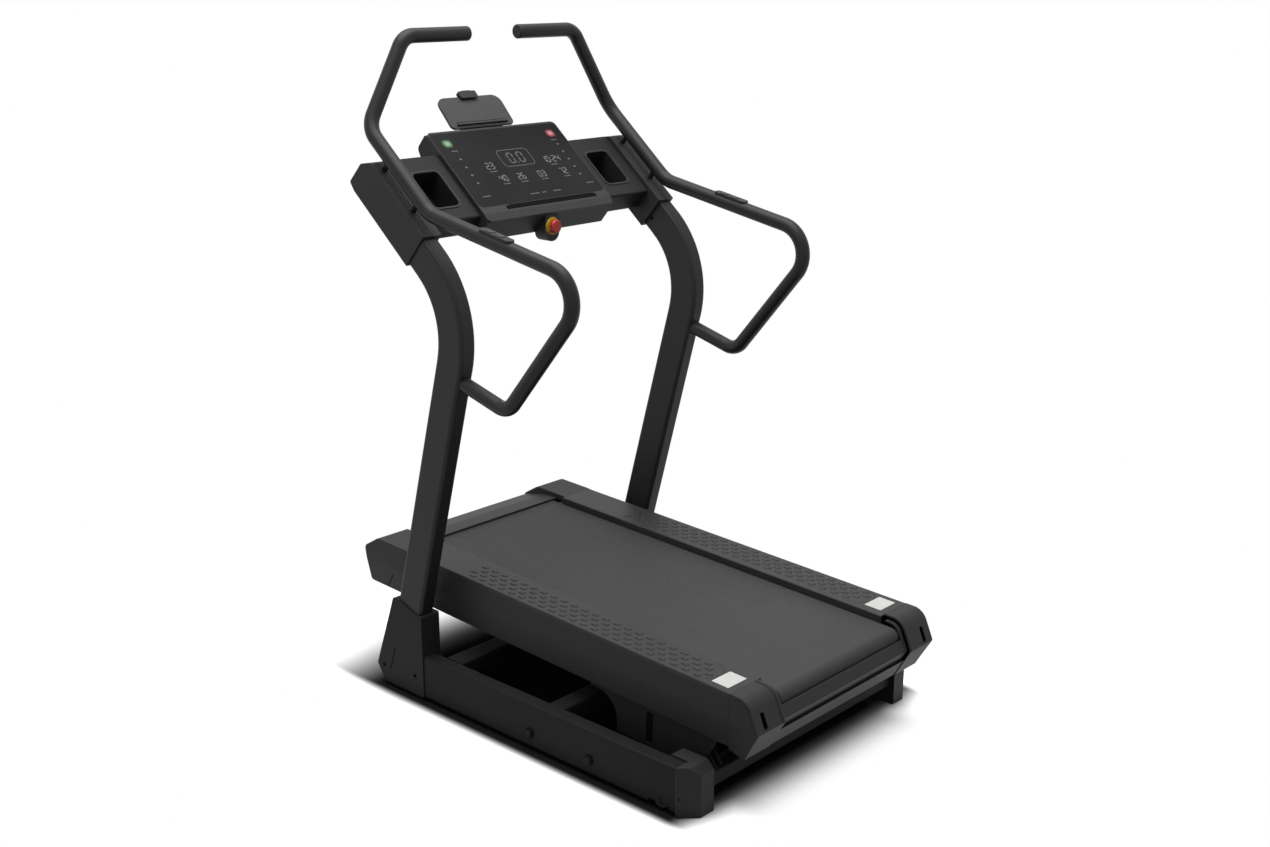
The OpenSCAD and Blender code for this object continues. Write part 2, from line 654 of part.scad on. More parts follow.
module console_face() color(plastic) {
    on_console() difference() {
        translate([0, (screen_h + 4 - apron) / 2, -face_t]) linear_extrude(face_t)
            rounded_rect(screen_w, screen_h + 4 + apron, glass_r);
        translate([0, screen_h / 2, -glass_t]) linear_extrude(glass_t + 1)
            rounded_rect(screen_w - 2 * glass_edge + 2 * key_gap,
                screen_h - 2 * glass_edge + 2 * key_gap, glass_r);
        // dark groove under the glass
        translate([groove_x, 0, 0]) across(-groove_w / 2, groove_w / 2)
            polygon([[-15, 1], [-2, 1], [-2, -6], [-9, -6]]);
        across(-screen_w / 2 - 1, screen_w / 2 + 1) polygon([[-apron - 1, -3.5], [-apron + 22, 0.01],
            [-apron - 1, 0.01]]);
    }
    stop_boss();
}
module display_glass() color("#0c0d10") on_console() translate([0, screen_h / 2, -glass_t])
    linear_extrude(glass_t) rounded_rect(screen_w - 2 * glass_edge, screen_h - 2 * glass_edge, glass_r);

// Emergency stop: a boss under the screen, a yellow collar and a red mushroom that presses forwards
stop_z = console_point(-apron, -54)[1];
stop_face_y = console_point(-apron, -54)[0] - 27;
boss_len = 40;
boss_w = 2 * stop_r + 15;
boss_h = 80;
module at_stop() on_floor() translate([0, stop_face_y, stop_z]) rotate([-90, 0, 0]) children();
module boss_outline(grow) rounded_rect(boss_w + 2 * grow, boss_h + 2 * grow, boss_w / 2 - 2);
module stop_boss() difference() {
    at_stop() difference() {
        linear_extrude(boss_len) boss_outline(0);
        translate([0, 0, -1]) cylinder(h = boss_len - 4, r = stop_stem_r + run_gap);
    }
    on_console() across(-boss_w, boss_w) translate([shell_wall - apron + 0.4, -200]) square([300, 300]);
}
stop_stem_r = 9;
collar_t = 5;
module estop_collar() color("#e3b81f") at_stop() translate([0, 0, -collar_t]) difference() {
    cylinder(h = collar_t, r1 = stop_r + 4, r2 = stop_r + 6.5);
    translate([0, 0, -1]) cylinder(h = collar_t + 2, r = stop_stem_r + run_gap);
}
module estop_button() color("#c5161d") at_stop() translate([0, 0, -collar_t - stop_travel - 0.5])
    rotate_extrude()
    soft_outline([[0, -9], [stop_r - 1.5, -9], [stop_r, -4], [stop_r, 0], [stop_stem_r, 0],
                  [stop_stem_r, 30], [0, 30]], [0, 3, 2, 1, 0, 1, 0]);

// Tablet rest behind the screen, with a sprung clamp that draws out at its top
rest_s = screen_h + 26;
rest_n = -20;
rest_tip = 7.3;
rest_t = 7;
rail_gap = 0.4;
clamp_w = 44;
module on_rest() on_console(rest_s, rest_n) rotate([rest_tip, 0, 0]) children();
module tablet_rest() color(plastic) {
    difference() {
        union() {
            on_rest() translate([0, rest_h / 2, -rest_t]) linear_extrude(rest_t)
                rounded_rect(rest_w, rest_h, 18);
            on_console() across(-70, 70) polygon(
                [[screen_h + 4.3, -44], [rest_s + 4, -40], [rest_s + 56, rest_n - 3],
                    [rest_s + 5, rest_n - 6],
                 [screen_h + 4.3, -16]]);
        }
        // channel that guides the clamp
        on_rest() translate([-clamp_w / 2 - rail_gap, 20, -rest_t + 1.5])
            cube([clamp_w + 2 * rail_gap, rest_h, rest_t - 3.5]);
        on_rest() translate([-8 - rail_gap, 60, -3]) cube([16 + 2 * rail_gap, rest_h, 5]);
    }
    // ledge that a tablet stands on
    on_rest() translate([-rest_w / 2 + 18, 1, 0]) cube([rest_w - 36, 4, 5]);
}
module tablet_clamp() color(plastic) on_rest() {
    translate([-clamp_w / 2, 26, -rest_t + 1.5 + rail_gap])
        cube([clamp_w, rest_h - 25, rest_t - 3.5 - 2 * rail_gap]);
    translate([0, rest_h + 6.5, -rest_t + 1.5 + rail_gap])
        linear_extrude(rest_t + 8) rounded_rect(clamp_w - 8, 12.4, 5);
    translate([-clamp_w / 2 + 4, rest_h - 10, 4.2]) cube([clamp_w - 8, 16, 3]);
}

// ---- pins and fasteners of the floor frame

module hinge_pins() color(bare_steel) on_floor() {
    both_sides() translate([0, pivot_y, pivot_z]) {
        rod_x(arm_x - 17, arm_x + 17, pivot_pin_r);
        rod_x(arm_x + 14.2, arm_x + 18, pivot_pin_r + 3.5);
    }
    translate([0, lift_y, lift_z]) {
        rod_x(-clevis_gap / 2 - clevis_t - 3, clevis_gap / 2 + clevis_t + 3, lift_pin_r);
        rod_x(clevis_gap / 2 + clevis_t + 0.2, clevis_gap / 2 + clevis_t + 4, lift_pin_r + 3);
    }
}
// A hexagon bolt along X with a washer under its head
module hex_bolt(x0, x1, r) {
    rod_x(x0, x1, r);
    rod_x(x1 - 0.01, x1 + 1.8, r * 2.1);
    right(x1 + 1.7) rotate([0, 90, 0]) cylinder(h = r * 1.25, r = r * 1.75, $fn = 6);
}
module frame_bolts() color(bare_steel) both_sides() on_floor() {
    on_rail_bolts() hex_bolt(-rail_w / 2 + tube_wall + 1, rail_w / 2, bolt_r);
    translate([rail_x, wheel_y, wheel_z]) {
        rod_x(-rail_w / 2, rail_w / 2, wheel_bore_r);
        right(rail_w / 2 - 0.01) rod_x(0, 2.5, wheel_bore_r + 3);
    }
}

// ---- deck: frame, board and belt

// A section drawn as [x, v], drawn out along the deck from u0 to u1
module along_deck(u0, u1) translate([0, u1, 0]) rotate([90, 0, 0]) linear_extrude(u1 - u0) children();
// The deck's outer sides: upright above the crease and leaning in below it, moved in by w
crease_v = deck_top - side_h / 2 - 4;
panel_in = 6;
module side_section(w) {
    low = skirt_v - 40;
    low_x = deck_w / 2 - panel_in * (crease_v - low) / (crease_v - skirt_v);
    polygon([[w - low_x, low], [low_x - w, low], [deck_w / 2 - w, crease_v],
        [deck_w / 2 - w, deck_top + 30],
             [w - deck_w / 2, deck_top + 30], [w - deck_w / 2, crease_v]]);
}
board_rear = rear_roller_u + loop_r + 12;
board_front = front_roller_u - loop_r - 12;
frame_rear = rear_roller_u + loop_r + 16;
frame_front = front_roller_u - loop_r - 14;
bracket_t = 6;
// Side frame: a tall tube with an axle bracket at each end and a pivot arm below
module side_frame() on_deck() difference() {
    union() {
        translate([frame_x, frame_front, (frame_top + frame_low) / 2]) rotate([90, 0, 0])
            linear_extrude(frame_front - frame_rear) box_section(frame_w, frame_top - frame_low, 5,
                tube_wall);
        across(frame_in, frame_in + bracket_t) {
            soft_outline([[rear_roller_u - 30, roller_v - 30], [frame_rear + 20, frame_low + 6],
                          [frame_rear + 20, frame_top - 4], [board_rear - 3, frame_top - 4],
                          [board_rear - 3, roller_v + 14], [rear_roller_u - 30, roller_v + 14]],
                              [12, 4, 0, 0, 2, 8]);
            soft_outline([[frame_front - 20, frame_low], [motor_u + 20, frame_low],
                [motor_u + 20, frame_low + 16],
                          [front_roller_u + 30, frame_low + 30], [front_roller_u + 30, roller_v + 14],
                          [board_front + 3, roller_v + 14], [board_front + 3, frame_top - 4],
                          [frame_front - 20, frame_top - 4]], [2, 4, 6, 20, 8, 2, 0, 0]);
        }
        across(arm_x - arm_t / 2, arm_x + arm_t / 2) soft_outline(
            [[-18, -18], [18, -18], [48, frame_low + 1], [-60, frame_low + 1]], [17.5, 17.5, 0, 0]);
    }
    rod_x(arm_x - 20, arm_x + 20, pivot_pin_r + run_gap);
    translate([0, front_roller_u, roller_v]) rod_x(frame_in - 5, frame_in + 15, axle_r + run_gap);
    across(frame_in - 5, frame_in + 15) translate([rear_roller_u, roller_v]) {
        square([16, 2 * axle_r + 0.2], center = true);
        for (u = [-8, 8]) translate([u, 0]) circle(axle_r + 0.1);
    }
}
module side_frame_right() color(steel) side_frame();
module side_frame_left() color(steel) mirror([1, 0, 0]) side_frame();

// Beams between the side frames, the lift's upper clevis and the motor's tray
lug = in_deck([lug_y, lug_z]);
deck_beam_v = frame_low + 34;
deck_beam_w = 40;
lug_beam_u = lug[0] + 62;
lug_gap = 32;
lug_t = 6;
tray_t = 4;
motor_x0 = belt_w / 2 - 8 - motor_len;
saddle_x = [motor_x0 + 25, motor_x0 + motor_len - 45];
module deck_crossbeams() color(steel) on_deck() {
    for (u = [rear_roller_u + 92, front_roller_u - 150])
        beam_x(frame_in, u, deck_beam_v, deck_beam_w, deck_beam_w);
    difference() {
        union() {
            beam_x(frame_in, lug_beam_u, deck_beam_v, deck_beam_w, deck_beam_w);
            for (x = [-lug_gap / 2 - lug_t, lug_gap / 2]) across(x, x + lug_t) soft_outline(
                [[lug[0] - 15, lug[1] - 15], [lug_beam_u - deck_beam_w / 2 + 1, deck_beam_v - 16],
                 [lug_beam_u - deck_beam_w / 2 + 1, deck_beam_v + 16], [lug[0] - 15, lug[1] + 15]],
                [14, 0, 0, 14]);
        }
        translate([0, lug[0], lug[1]]) rod_x(-60, 60, lift_pin_r + run_gap);
    }
    difference() {
        union() {
            translate([-frame_in, front_roller_u - 30, frame_low])
                cube([2 * frame_in, motor_u + 20 - front_roller_u + 30, tray_t]);
            for (x = saddle_x) translate([x, motor_u - 20, frame_low])
                cube([20, 40, motor_v - frame_low - motor_r * 0.7]);
        }
        translate([0, motor_u, motor_v]) rod_x(-frame_in, frame_in, motor_r + seat_gap / 4);
    }
}
board_x = frame_x + 14;
module deck_board() color("#4a3a2a") on_deck() translate([-board_x, board_rear, board_top - board_t])
    cube([2 * board_x, board_front - board_rear, board_t]);
cushion_count = 4;
module deck_cushions() color(rubber) both_sides() on_deck() for (i = [0:cushion_count - 1])
    translate([frame_x, frame_rear + 60 + i * (frame_front - frame_rear - 120) / (cushion_count - 1),
        frame_top])
        linear_extrude(cushion_h) rounded_rect(26, 60, 8);

module loop_outline(r) {
    for (u = [rear_roller_u, front_roller_u]) translate([u, roller_v]) circle(r);
    translate([rear_roller_u, roller_v - r]) square([front_roller_u - rear_roller_u, 2 * r]);
}
module running_belt() color(belt_black) on_deck() across(-belt_w / 2, belt_w / 2) difference() {
    loop_outline(loop_r);
    loop_outline(loop_r - belt_t);
}
module front_roller() color(bare_steel) on_deck() translate([0, front_roller_u, roller_v]) difference() {
    union() {
        rod_x(-belt_w / 2 - 5, belt_w / 2 + 5, roller_r);
        rod_x(pulley_x - pulley_w / 2 - 2, pulley_x - pulley_w / 2, roller_pulley_r + 2);
        rod_x(belt_w / 2, pulley_x + pulley_w / 2, roller_pulley_r);
        rod_x(pulley_x + pulley_w / 2, pulley_x + pulley_w / 2 + 2, roller_pulley_r + 2);
    }
    rod_x(-belt_w, belt_w, axle_r + run_gap);
    rod_x(-belt_w / 2 + roller_end, belt_w / 2 - roller_end, roller_r - roller_wall);
}
roller_wall = 3.5;
roller_end = 14;
pulley_w = 16;
pulley_x = belt_w / 2 + 18;
module rear_roller() color(bare_steel) on_deck() translate([0, rear_roller_u, roller_v]) difference() {
    rod_x(-belt_w / 2 - 5, belt_w / 2 + 5, roller_r);
    rod_x(-belt_w, belt_w, axle_r + run_gap);
    rod_x(-belt_w / 2 + roller_end, belt_w / 2 - roller_end, roller_r - roller_wall);
}
tension_x = frame_x + 2;
module roller_axles() color(bare_steel) on_deck() {
    translate([0, front_roller_u, roller_v]) rod_x(-frame_in - 14, frame_in + 14, axle_r);
    difference() {
        translate([0, rear_roller_u, roller_v]) rod_x(-tension_x - 9, tension_x + 9, axle_r);
        for (x = [-tension_x, tension_x]) translate([x, rear_roller_u, roller_v]) rotate([90, 0, 0])
            cylinder(h = 40, r = 4.1, center = true);
    }
    for (x = [-tension_x, tension_x]) translate([x, rear_roller_u, roller_v]) rotate([90, 0, 0]) {
        translate([0, 0, -30]) cylinder(h = 44, r = 4);
        translate([0, 0, 14]) cylinder(h = 6, r = 7, $fn = 6);
    }
}

// ---- deck: outer skins

// Foot rail: a channel with a lip over the side panel and ribs that stand on the board
rib_t = 3;
module foot_rail() on_deck() along_deck(end_cap_u + 0.5, front_cover_u - 0.5) {
    soft_outline([[foot_rail_in, deck_top - 4], [deck_w / 2 - 3, deck_top - 4], [deck_w / 2 - 3, lip_v],
                  [deck_w / 2, lip_v], [deck_w / 2, deck_top], [foot_rail_in, deck_top]],
                      [0, 0, 0, 0, 3, 3]);
    translate([foot_rail_in, board_top]) square([rib_t, deck_top - 2 - board_top]);
    translate([board_x - 6, board_top]) square([rib_t, deck_top - 2 - board_top]);
}
lip_v = deck_top - 12;
module foot_rail_right() color(plastic) foot_rail();
module foot_rail_left() color(plastic) mirror([1, 0, 0]) foot_rail();

// Side panel: sheet with a crease at mid height and a flange under the side frame
slit_v = skirt_v + 54;
slit_high_u = front_cover_u + 50;
slit_low_u = front_cover_u + 86;
flange_x = arm_x + arm_t / 2 + 1;
module side_panel() on_deck() difference() {
    along_deck(end_cap_u + 0.5, slit_low_u) polygon(
        [[flange_x, skirt_v], [deck_w / 2 - panel_in, skirt_v], [deck_w / 2, crease_v],
            [deck_w / 2, lip_v - 0.3],
         [deck_w / 2 - panel_t, lip_v - 0.3], [deck_w / 2 - panel_t, crease_v],
         [deck_w / 2 - panel_in - panel_t, frame_low], [flange_x, frame_low]]);
    across(0, deck_w) translate([-0.5, 0]) polygon(
        [[front_cover_u, deck_top + 9], [front_cover_u, slit_v], [slit_high_u, slit_v],
            [slit_low_u, skirt_v - 1],
         [slit_low_u + 9, skirt_v - 1], [slit_low_u + 9, deck_top + 9]]);
}
module side_panel_right() color(plastic) side_panel();
module side_panel_left() color(plastic) mirror([1, 0, 0]) side_panel();

// Shrouds that hang from the panels and hide the pivot and the lift
shroud_x = frame_out + 1;
shroud_low = -62;
shroud_rear = -34;
shroud_front = 229;
shroud_sweep = 68;
module pivot_shrouds() color(plastic) both_sides() on_deck() difference() {
    across(shroud_x, shroud_x + shell_wall) soft_outline(
        [[shroud_rear, shroud_low], [shroud_front, shroud_low], [shroud_front, skirt_v - 10],
         [shroud_front + shroud_sweep + 25, skirt_v - 10], [shroud_front + shroud_sweep + 25, skirt_v],
         [shroud_rear - 54, skirt_v]], [8, 0, shroud_sweep, 3, 0, 0]);
    translate([shroud_x + 1, 123, -12]) rotate([90, 0, 90]) linear_extrude(6) rounded_rect(22, 80, 4);
}

// Front cover: a shell over the motor. Cheeks either side are level with the foot rails and the
// middle lies lower, close over the belt
nose_low_u = deck_nose - 22;
hood_pts = [[slit_low_u, skirt_v], [nose_low_u, skirt_v], [deck_nose, nose_v], [deck_nose - 58, deck_top],
            [front_cover_u, deck_top], [front_cover_u, slit_v], [slit_high_u, slit_v]];
hood_radii = [0, 10, 16, 24, 0, 0, 0];
cheek_in = foot_rail_in + 10;
mid_rear_u = front_cover_u + 35;
mid_pts = [[slit_low_u, skirt_v], [nose_low_u, skirt_v], [deck_nose, nose_v],
    [deck_nose - 87, belt_top + 2],
           [mid_rear_u, belt_top + 6.5], [mid_rear_u, slit_v]];
mid_radii = [0, 10, 16, 36, 2, 0];
module front_cover() color(plastic) on_deck() difference() {
    intersection() {
        union() {
            across(-cheek_in - 1, cheek_in + 1) soft_outline(mid_pts, mid_radii);
            both_sides() across(cheek_in, deck_w / 2) soft_outline(hood_pts, hood_radii);
        }
        along_deck(front_cover_u - 1, deck_nose + 1) side_section(0);
    }
    intersection() {
        union() {
            across(-cheek_in - 4, cheek_in + 4)
                soft_outline(inset(mid_pts, shell_wall), inset_radii(mid_pts, mid_radii, shell_wall));
            both_sides() across(cheek_in + shell_wall, deck_w / 2)
                soft_outline(inset(hood_pts, shell_wall), inset_radii(hood_pts, hood_radii, shell_wall));
            // open below and behind
            across(-deck_w / 2, deck_w / 2) {
                translate([slit_low_u - 30, skirt_v - 5]) square([nose_low_u - slit_low_u + 22, 20]);
                translate([front_cover_u - 10, skirt_v - 5])
                    square([slit_low_u - front_cover_u + 15, slit_v - skirt_v + 13]);
                translate([front_cover_u - 10, slit_v])
                    square([front_roller_u - front_cover_u + 12, belt_top + 2 - slit_v]);
            }
        }
        along_deck(front_cover_u - 15, deck_nose + 1) side_section(shell_wall);
    }
    on_nose() translate([power_x, 0, 0]) rotate([90, 0, 0])
        linear_extrude(20, center = true) rounded_rect(power_w - 5.5, power_h - 5.5, 3);
}

// Rear end caps: shells with a rounded top edge, an undercut below and a slot for the tension bolt
cap_corner_u = -deck_tail + 36;
cap_pts = [[end_cap_u, skirt_v - 6], [end_cap_u, deck_top], [cap_corner_u, deck_top], [-deck_tail, tail_v],
           [-deck_tail + 24, skirt_v + 16], [-deck_tail + 42, skirt_v - 20]];
cap_radii = [0, 0, 44, 9, 0, 6];
cap_lean = atan2(cap_corner_u + deck_tail, deck_top - tail_v);
slot_v = tail_v + 23;
module end_cap() on_deck() difference() {
    intersection() {
        across(cap_in, deck_w / 2) soft_outline(cap_pts, cap_radii);
        along_deck(-deck_tail - 10, end_cap_u) side_section(0);
    }
    intersection() {
        across(cap_in - 1, deck_w / 2) {
            soft_outline(inset(cap_pts, shell_wall), inset_radii(cap_pts, cap_radii, shell_wall));
            translate([end_cap_u - 10, skirt_v - 2]) square([40, deck_top - skirt_v - 1]);
        }
        along_deck(-deck_tail - 10, end_cap_u + 20) side_section(shell_wall);
    }
    // slot for the tension bolt
    translate([tension_x, -deck_tail + (slot_v - tail_v) * tan(cap_lean), slot_v])
        rotate([90 - cap_lean, 0, 0])
        linear_extrude(30, center = true) rounded_rect(14, 42, 6.9);
    // groove that follows the cap's edge on its side
    across(deck_w / 2 - 0.8, deck_w / 2 + 1) difference() {
        soft_outline(inset(cap_pts, 7), inset_radii(cap_pts, cap_radii, 7));
        soft_outline(inset(cap_pts, 8), inset_radii(cap_pts, cap_radii, 8));
        translate([-deck_tail - 10, crease_v - 100]) square([200, 100]);
        translate([end_cap_u - 20, crease_v - 1]) square([60, 100]);
    }
}
module end_cap_right() color(plastic) end_cap();
module end_cap_left() color(plastic) mirror([1, 0, 0]) end_cap();

// The treadmill's rear and front ends are the rounded corners of the caps and of the front cover
rear_end = corner(cap_pts, cap_radii, 3)[2];
front_end = corner(hood_pts, hood_radii, 2)[2];
shift_y = -(deck_point(rear_end)[0] - cap_radii[3] + deck_point(front_end)[0] + hood_radii[2]) / 2;

// Rear guard: a panel below the belt with a ledge, and a wing either side beside the roller's end
guard_top = roller_v - 2;
guard_ledge = 72;
guard_deep = 9;
guard_shallow = 2;
wing_x = belt_w / 2 + 6;
guard_lip = 58;
module guard_layer(w, low, high) intersection() {
    soft_outline(inset(cap_pts, w), inset_radii(cap_pts, cap_radii, w));
    translate([-deck_tail - 10, low]) square([300, high - low]);
}
module rear_guard() color(plastic) on_deck() difference() {
    across(-cap_in + seat_gap, cap_in - seat_gap) difference() {
        union() {
            guard_layer(guard_deep, guard_ledge - 1, deck_top);
            guard_layer(guard_shallow, 0, guard_ledge);
        }
        guard_layer(guard_deep + shell_wall, guard_ledge - shell_wall, deck_top);
        guard_layer(guard_shallow + shell_wall, 0, guard_ledge - shell_wall);
        translate([end_cap_u - 12, 0]) square([60, deck_top + 20]);
        translate([-deck_tail + guard_lip, -60]) square([100, skirt_v + 110]);
    }
    translate([-wing_x, -deck_tail - 10, guard_top]) cube([2 * wing_x, deck_tail, 100]);
}

// ---- deck: drive

module drive_motor() color("#3b3d40") on_deck() translate([0, motor_u, motor_v]) difference() {
    union() {
        rod_x(motor_x0, motor_x0 + motor_len, motor_r);
        rod_x(motor_x0 - 5, motor_x0 + motor_len + 5, motor_r - 8);
    }
    rod_x(motor_x0 - 10, motor_x0 + motor_len + 10, motor_shaft_r + run_gap);
}
motor_shaft_r = 7;
flywheel_t = 20;
module motor_rotor() color(bare_steel) on_deck() translate([0, motor_u, motor_v]) {
    rod_x(motor_x0 - 8 - flywheel_t, pulley_x + pulley_w / 2 + 3, motor_shaft_r);
    rod_x(motor_x0 - 8 - flywheel_t, motor_x0 - 8, motor_r - 2);
    rod_x(pulley_x - pulley_w / 2 - 2, pulley_x - pulley_w / 2, motor_pulley_r + 2);
    rod_x(pulley_x - pulley_w / 2, pulley_x + pulley_w / 2, motor_pulley_r);
    rod_x(pulley_x + pulley_w / 2, pulley_x + pulley_w / 2 + 2, motor_pulley_r + 2);
}
// Outline of a belt round two pulleys, r1 at a and r2 at b
module belt_outline(a, r1, b, r2) {
    d = unit(b - a);
    lean = acos((r1 - r2) / norm(b - a));
    translate(a) circle(r1);
    translate(b) circle(r2);
    polygon([a + r1 * spin(d, -lean), b + r2 * spin(d, -lean), b + r2 * spin(d, lean),
        a + r1 * spin(d, lean)]);
}
drive_belt_t = 2.5;
module drive_belt() color(rubber) on_deck() across(pulley_x - pulley_w / 2 + 1,
    pulley_x + pulley_w / 2 - 1) difference() {
    belt_outline([front_roller_u, roller_v], roller_pulley_r + skin_gap + drive_belt_t,
                 [motor_u, motor_v], motor_pulley_r + skin_gap + drive_belt_t);
    belt_outline([front_roller_u, roller_v], roller_pulley_r + skin_gap, [motor_u, motor_v],
        motor_pulley_r + skin_gap);
}
fin_count = 9;
module motor_controller() color("#54575b") on_deck() translate([-frame_in + 55, motor_u - 40,
    frame_low + tray_t]) {
    cube([170, 60, 26]);
    for (i = [0:fin_count - 1]) translate([4 + i * 160 / (fin_count - 1), 0, 25]) cube([2.5, 60, 14]);
}
// Power inlet and rocker switch on the nose
power_w = 74;
power_h = 34;
power_x = -190;
nose_tilt = atan2(deck_nose - nose_low_u, nose_v - skirt_v);
module on_nose() translate([0, (deck_nose + nose_low_u) / 2, (nose_v + skirt_v) / 2])
    rotate([-nose_tilt, 0, 0]) children();
switch_x = power_x + 22;
switch_w = 14;
switch_h = 20;
module power_inlet() color("#101112") on_deck() on_nose() difference() {
    union() {
        translate([power_x, 2.2, 0]) rotate([90, 0, 0]) linear_extrude(2) rounded_rect(power_w, power_h, 4);
        translate([power_x, 1, 0]) rotate([90, 0, 0]) linear_extrude(24)
            rounded_rect(power_w - 7, power_h - 7, 2);
    }
    translate([power_x - 16, 5, 0]) rotate([90, 0, 0]) linear_extrude(20) rounded_rect(24, 18, 3);
    translate([switch_x - switch_w / 2 - 0.4, -14, -switch_h / 2 - 0.8])
        cube([switch_w + 0.8, 20, switch_h + 1.6]);
    rod_x(switch_x - switch_w / 2 - 2.4, switch_x + switch_w / 2 + 2.4, switch_pin_r + run_gap);
}
switch_pin_r = 1.5;
// Rocker: two flats either side of its pin
module power_switch() color("#b3201f") on_deck() on_nose() {
    across(switch_x - switch_w / 2, switch_x + switch_w / 2)
        rotate(8) polygon([[-9, -6], [-9, 6], [1.5, switch_h / 2 - 0.5], [4, switch_h / 2 - 0.5], [2.5, 0],
                           [4, -switch_h / 2 + 0.5], [1.5, -switch_h / 2 + 0.5]]);
    rod_x(switch_x - switch_w / 2 - 2, switch_x + switch_w / 2 + 2, switch_pin_r);
}

// ---- lift

lift_reach = norm([lug_y - lift_y, lug_z - lift_z]);
lift_angle = atan2(lug_z - lift_z, lug_y - lift_y);
module on_lift() on_floor() translate([0, lift_y, lift_z]) rotate([lift_angle, 0, 0]) children();
module lift_pin() color(bare_steel) on_deck() translate([0, lug[0], lug[1]]) {
    rod_x(-lug_gap / 2 - lug_t - 3, lug_gap / 2 + lug_t + 3, lift_pin_r);
    rod_x(lug_gap / 2 + lug_t + 0.2, lug_gap / 2 + lug_t + 4, lift_pin_r + 3);
}
eye_half = 15;
lift_tube_r = 20;
lift_tube_len = 205;
gear_from = 24;
gear_len = 56;
can_r = 31;
can_x = 60;
// Lift motor: an eye, a gearbox, a motor beside it and the outer tube of the screw
module lift_motor() color("#3b3d40") on_lift() difference() {
    union() {
        rod_x(-eye_half, eye_half, lift_pin_r + 8);
        translate([-eye_half, 0, -12]) cube([2 * eye_half, gear_from + 2, 24]);
        translate([0, gear_from, 0]) rotate([-90, 0, 0]) linear_extrude(gear_len) rounded_rect(56, 50, 9);
        translate([0, gear_from + 6, -18]) cube([can_x, 22, 36]);
        translate([can_x, gear_from, 0]) rotate([-90, 0, 0]) cylinder(h = 112, r = can_r);
        translate([0, gear_from + gear_len - 1, 0]) rotate([-90, 0, 0])
            cylinder(h = lift_tube_len - gear_from - gear_len + 1, r = lift_tube_r);
    }
    rod_x(-40, 40, lift_pin_r + run_gap);
    translate([0, gear_from + gear_len, 0]) rotate([-90, 0, 0])
        cylinder(h = lift_tube_len, r = lift_tube_r - 3);
}
rod_r = 12;
rod_tail = 100;
module lift_rod() color(bare_steel) on_lift() difference() {
    union() {
        translate([0, rod_tail, 0]) rotate([-90, 0, 0])
            cylinder(h = lift_reach - rod_tail - lift_pin_r - lift_play - 1, r = rod_r);
        translate([0, rod_tail, 0]) rotate([-90, 0, 0]) cylinder(h = 16, r = lift_tube_r - 3 - skin_gap);
        translate([0, lift_reach, 0]) rod_x(-eye_half, eye_half, lift_pin_r + 8);
    }
    translate([0, lift_reach, 0]) rod_x(-eye_half - 1, eye_half + 1, lift_pin_r + lift_play);
}

base_rail_left();
base_rail_right();
base_crossbeams();
pivot_crossbeam();
rail_end_caps();
front_feet();
boot_left();
boot_right();
upright_left();
upright_right();
upright_cover_left();
upright_cover_right();
handlebar_left();
handlebar_right();
handlebar_plugs();
key_pods();
console_beam();
console_tray();
console_back();
console_face();
display_glass();
estop_collar();
tablet_rest();
hinge_pins();
frame_bolts();
transport_wheel_left();
transport_wheel_right();
estop_button();
tablet_clamp();
incline_up_key();
incline_down_key();
speed_up_key();
speed_down_key();
side_frame_left();
side_frame_right();
deck_crossbeams();
deck_board();
deck_cushions();
running_belt();
foot_rail_left();
foot_rail_right();
side_panel_left();
side_panel_right();
pivot_shrouds();
front_cover();
end_cap_left();
end_cap_right();
rear_guard();
drive_motor();
motor_controller();
drive_belt();
roller_axles();
lift_pin();
power_inlet();
front_roller();
rear_roller();
motor_rotor();
power_switch();
lift_motor();
lift_rod();
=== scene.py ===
# %% [markdown]
# # An incline treadmill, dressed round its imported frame
#
# The steel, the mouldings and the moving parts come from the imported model, already in
# metres and in one frame: +X is the walker's right, +Y the way the walker faces, +Z up.
# This lesson sets the camera, writes one small language for shader maths, mixes each
# finish with it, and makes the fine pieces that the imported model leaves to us: the tread
# on the foot rails, the figures on the display, screws and plates. Light comes last.

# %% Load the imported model
import bpy
import json
import math
from mathutils import Matrix, Vector


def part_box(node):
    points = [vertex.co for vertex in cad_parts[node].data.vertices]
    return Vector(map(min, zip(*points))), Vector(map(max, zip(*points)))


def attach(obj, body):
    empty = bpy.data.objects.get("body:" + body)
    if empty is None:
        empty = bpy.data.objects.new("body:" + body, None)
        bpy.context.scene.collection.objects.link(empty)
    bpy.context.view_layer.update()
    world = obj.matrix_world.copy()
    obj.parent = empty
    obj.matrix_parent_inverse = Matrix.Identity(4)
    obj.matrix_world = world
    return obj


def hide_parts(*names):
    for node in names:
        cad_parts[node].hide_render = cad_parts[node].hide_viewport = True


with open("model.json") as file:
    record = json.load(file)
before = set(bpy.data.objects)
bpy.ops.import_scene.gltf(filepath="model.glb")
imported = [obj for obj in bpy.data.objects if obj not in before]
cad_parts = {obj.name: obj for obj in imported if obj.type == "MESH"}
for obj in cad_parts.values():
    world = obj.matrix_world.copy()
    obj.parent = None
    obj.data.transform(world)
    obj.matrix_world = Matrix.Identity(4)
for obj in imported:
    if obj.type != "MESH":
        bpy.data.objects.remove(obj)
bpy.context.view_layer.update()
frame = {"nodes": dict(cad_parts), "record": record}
SIDES = (("left", -1), ("right", 1))
nodes = frame["nodes"]
joints = {joint["name"]: joint for joint in frame["record"]["behaviour"]["joints"]}

# %% [markdown]
# ## Tilted planes
#
# Almost every pattern on a treadmill lies on a slope: the deck, which tilts a few degrees
# on its rear pivot, the console, which leans towards the walker, and the tablet rest. A
# small class keeps such a slope. It takes a point of the slope (x across, u up the slope,
# v square to it) to the room, and gives the span of a node in the slope's own directions.
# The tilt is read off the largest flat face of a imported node, so nothing is measured twice.

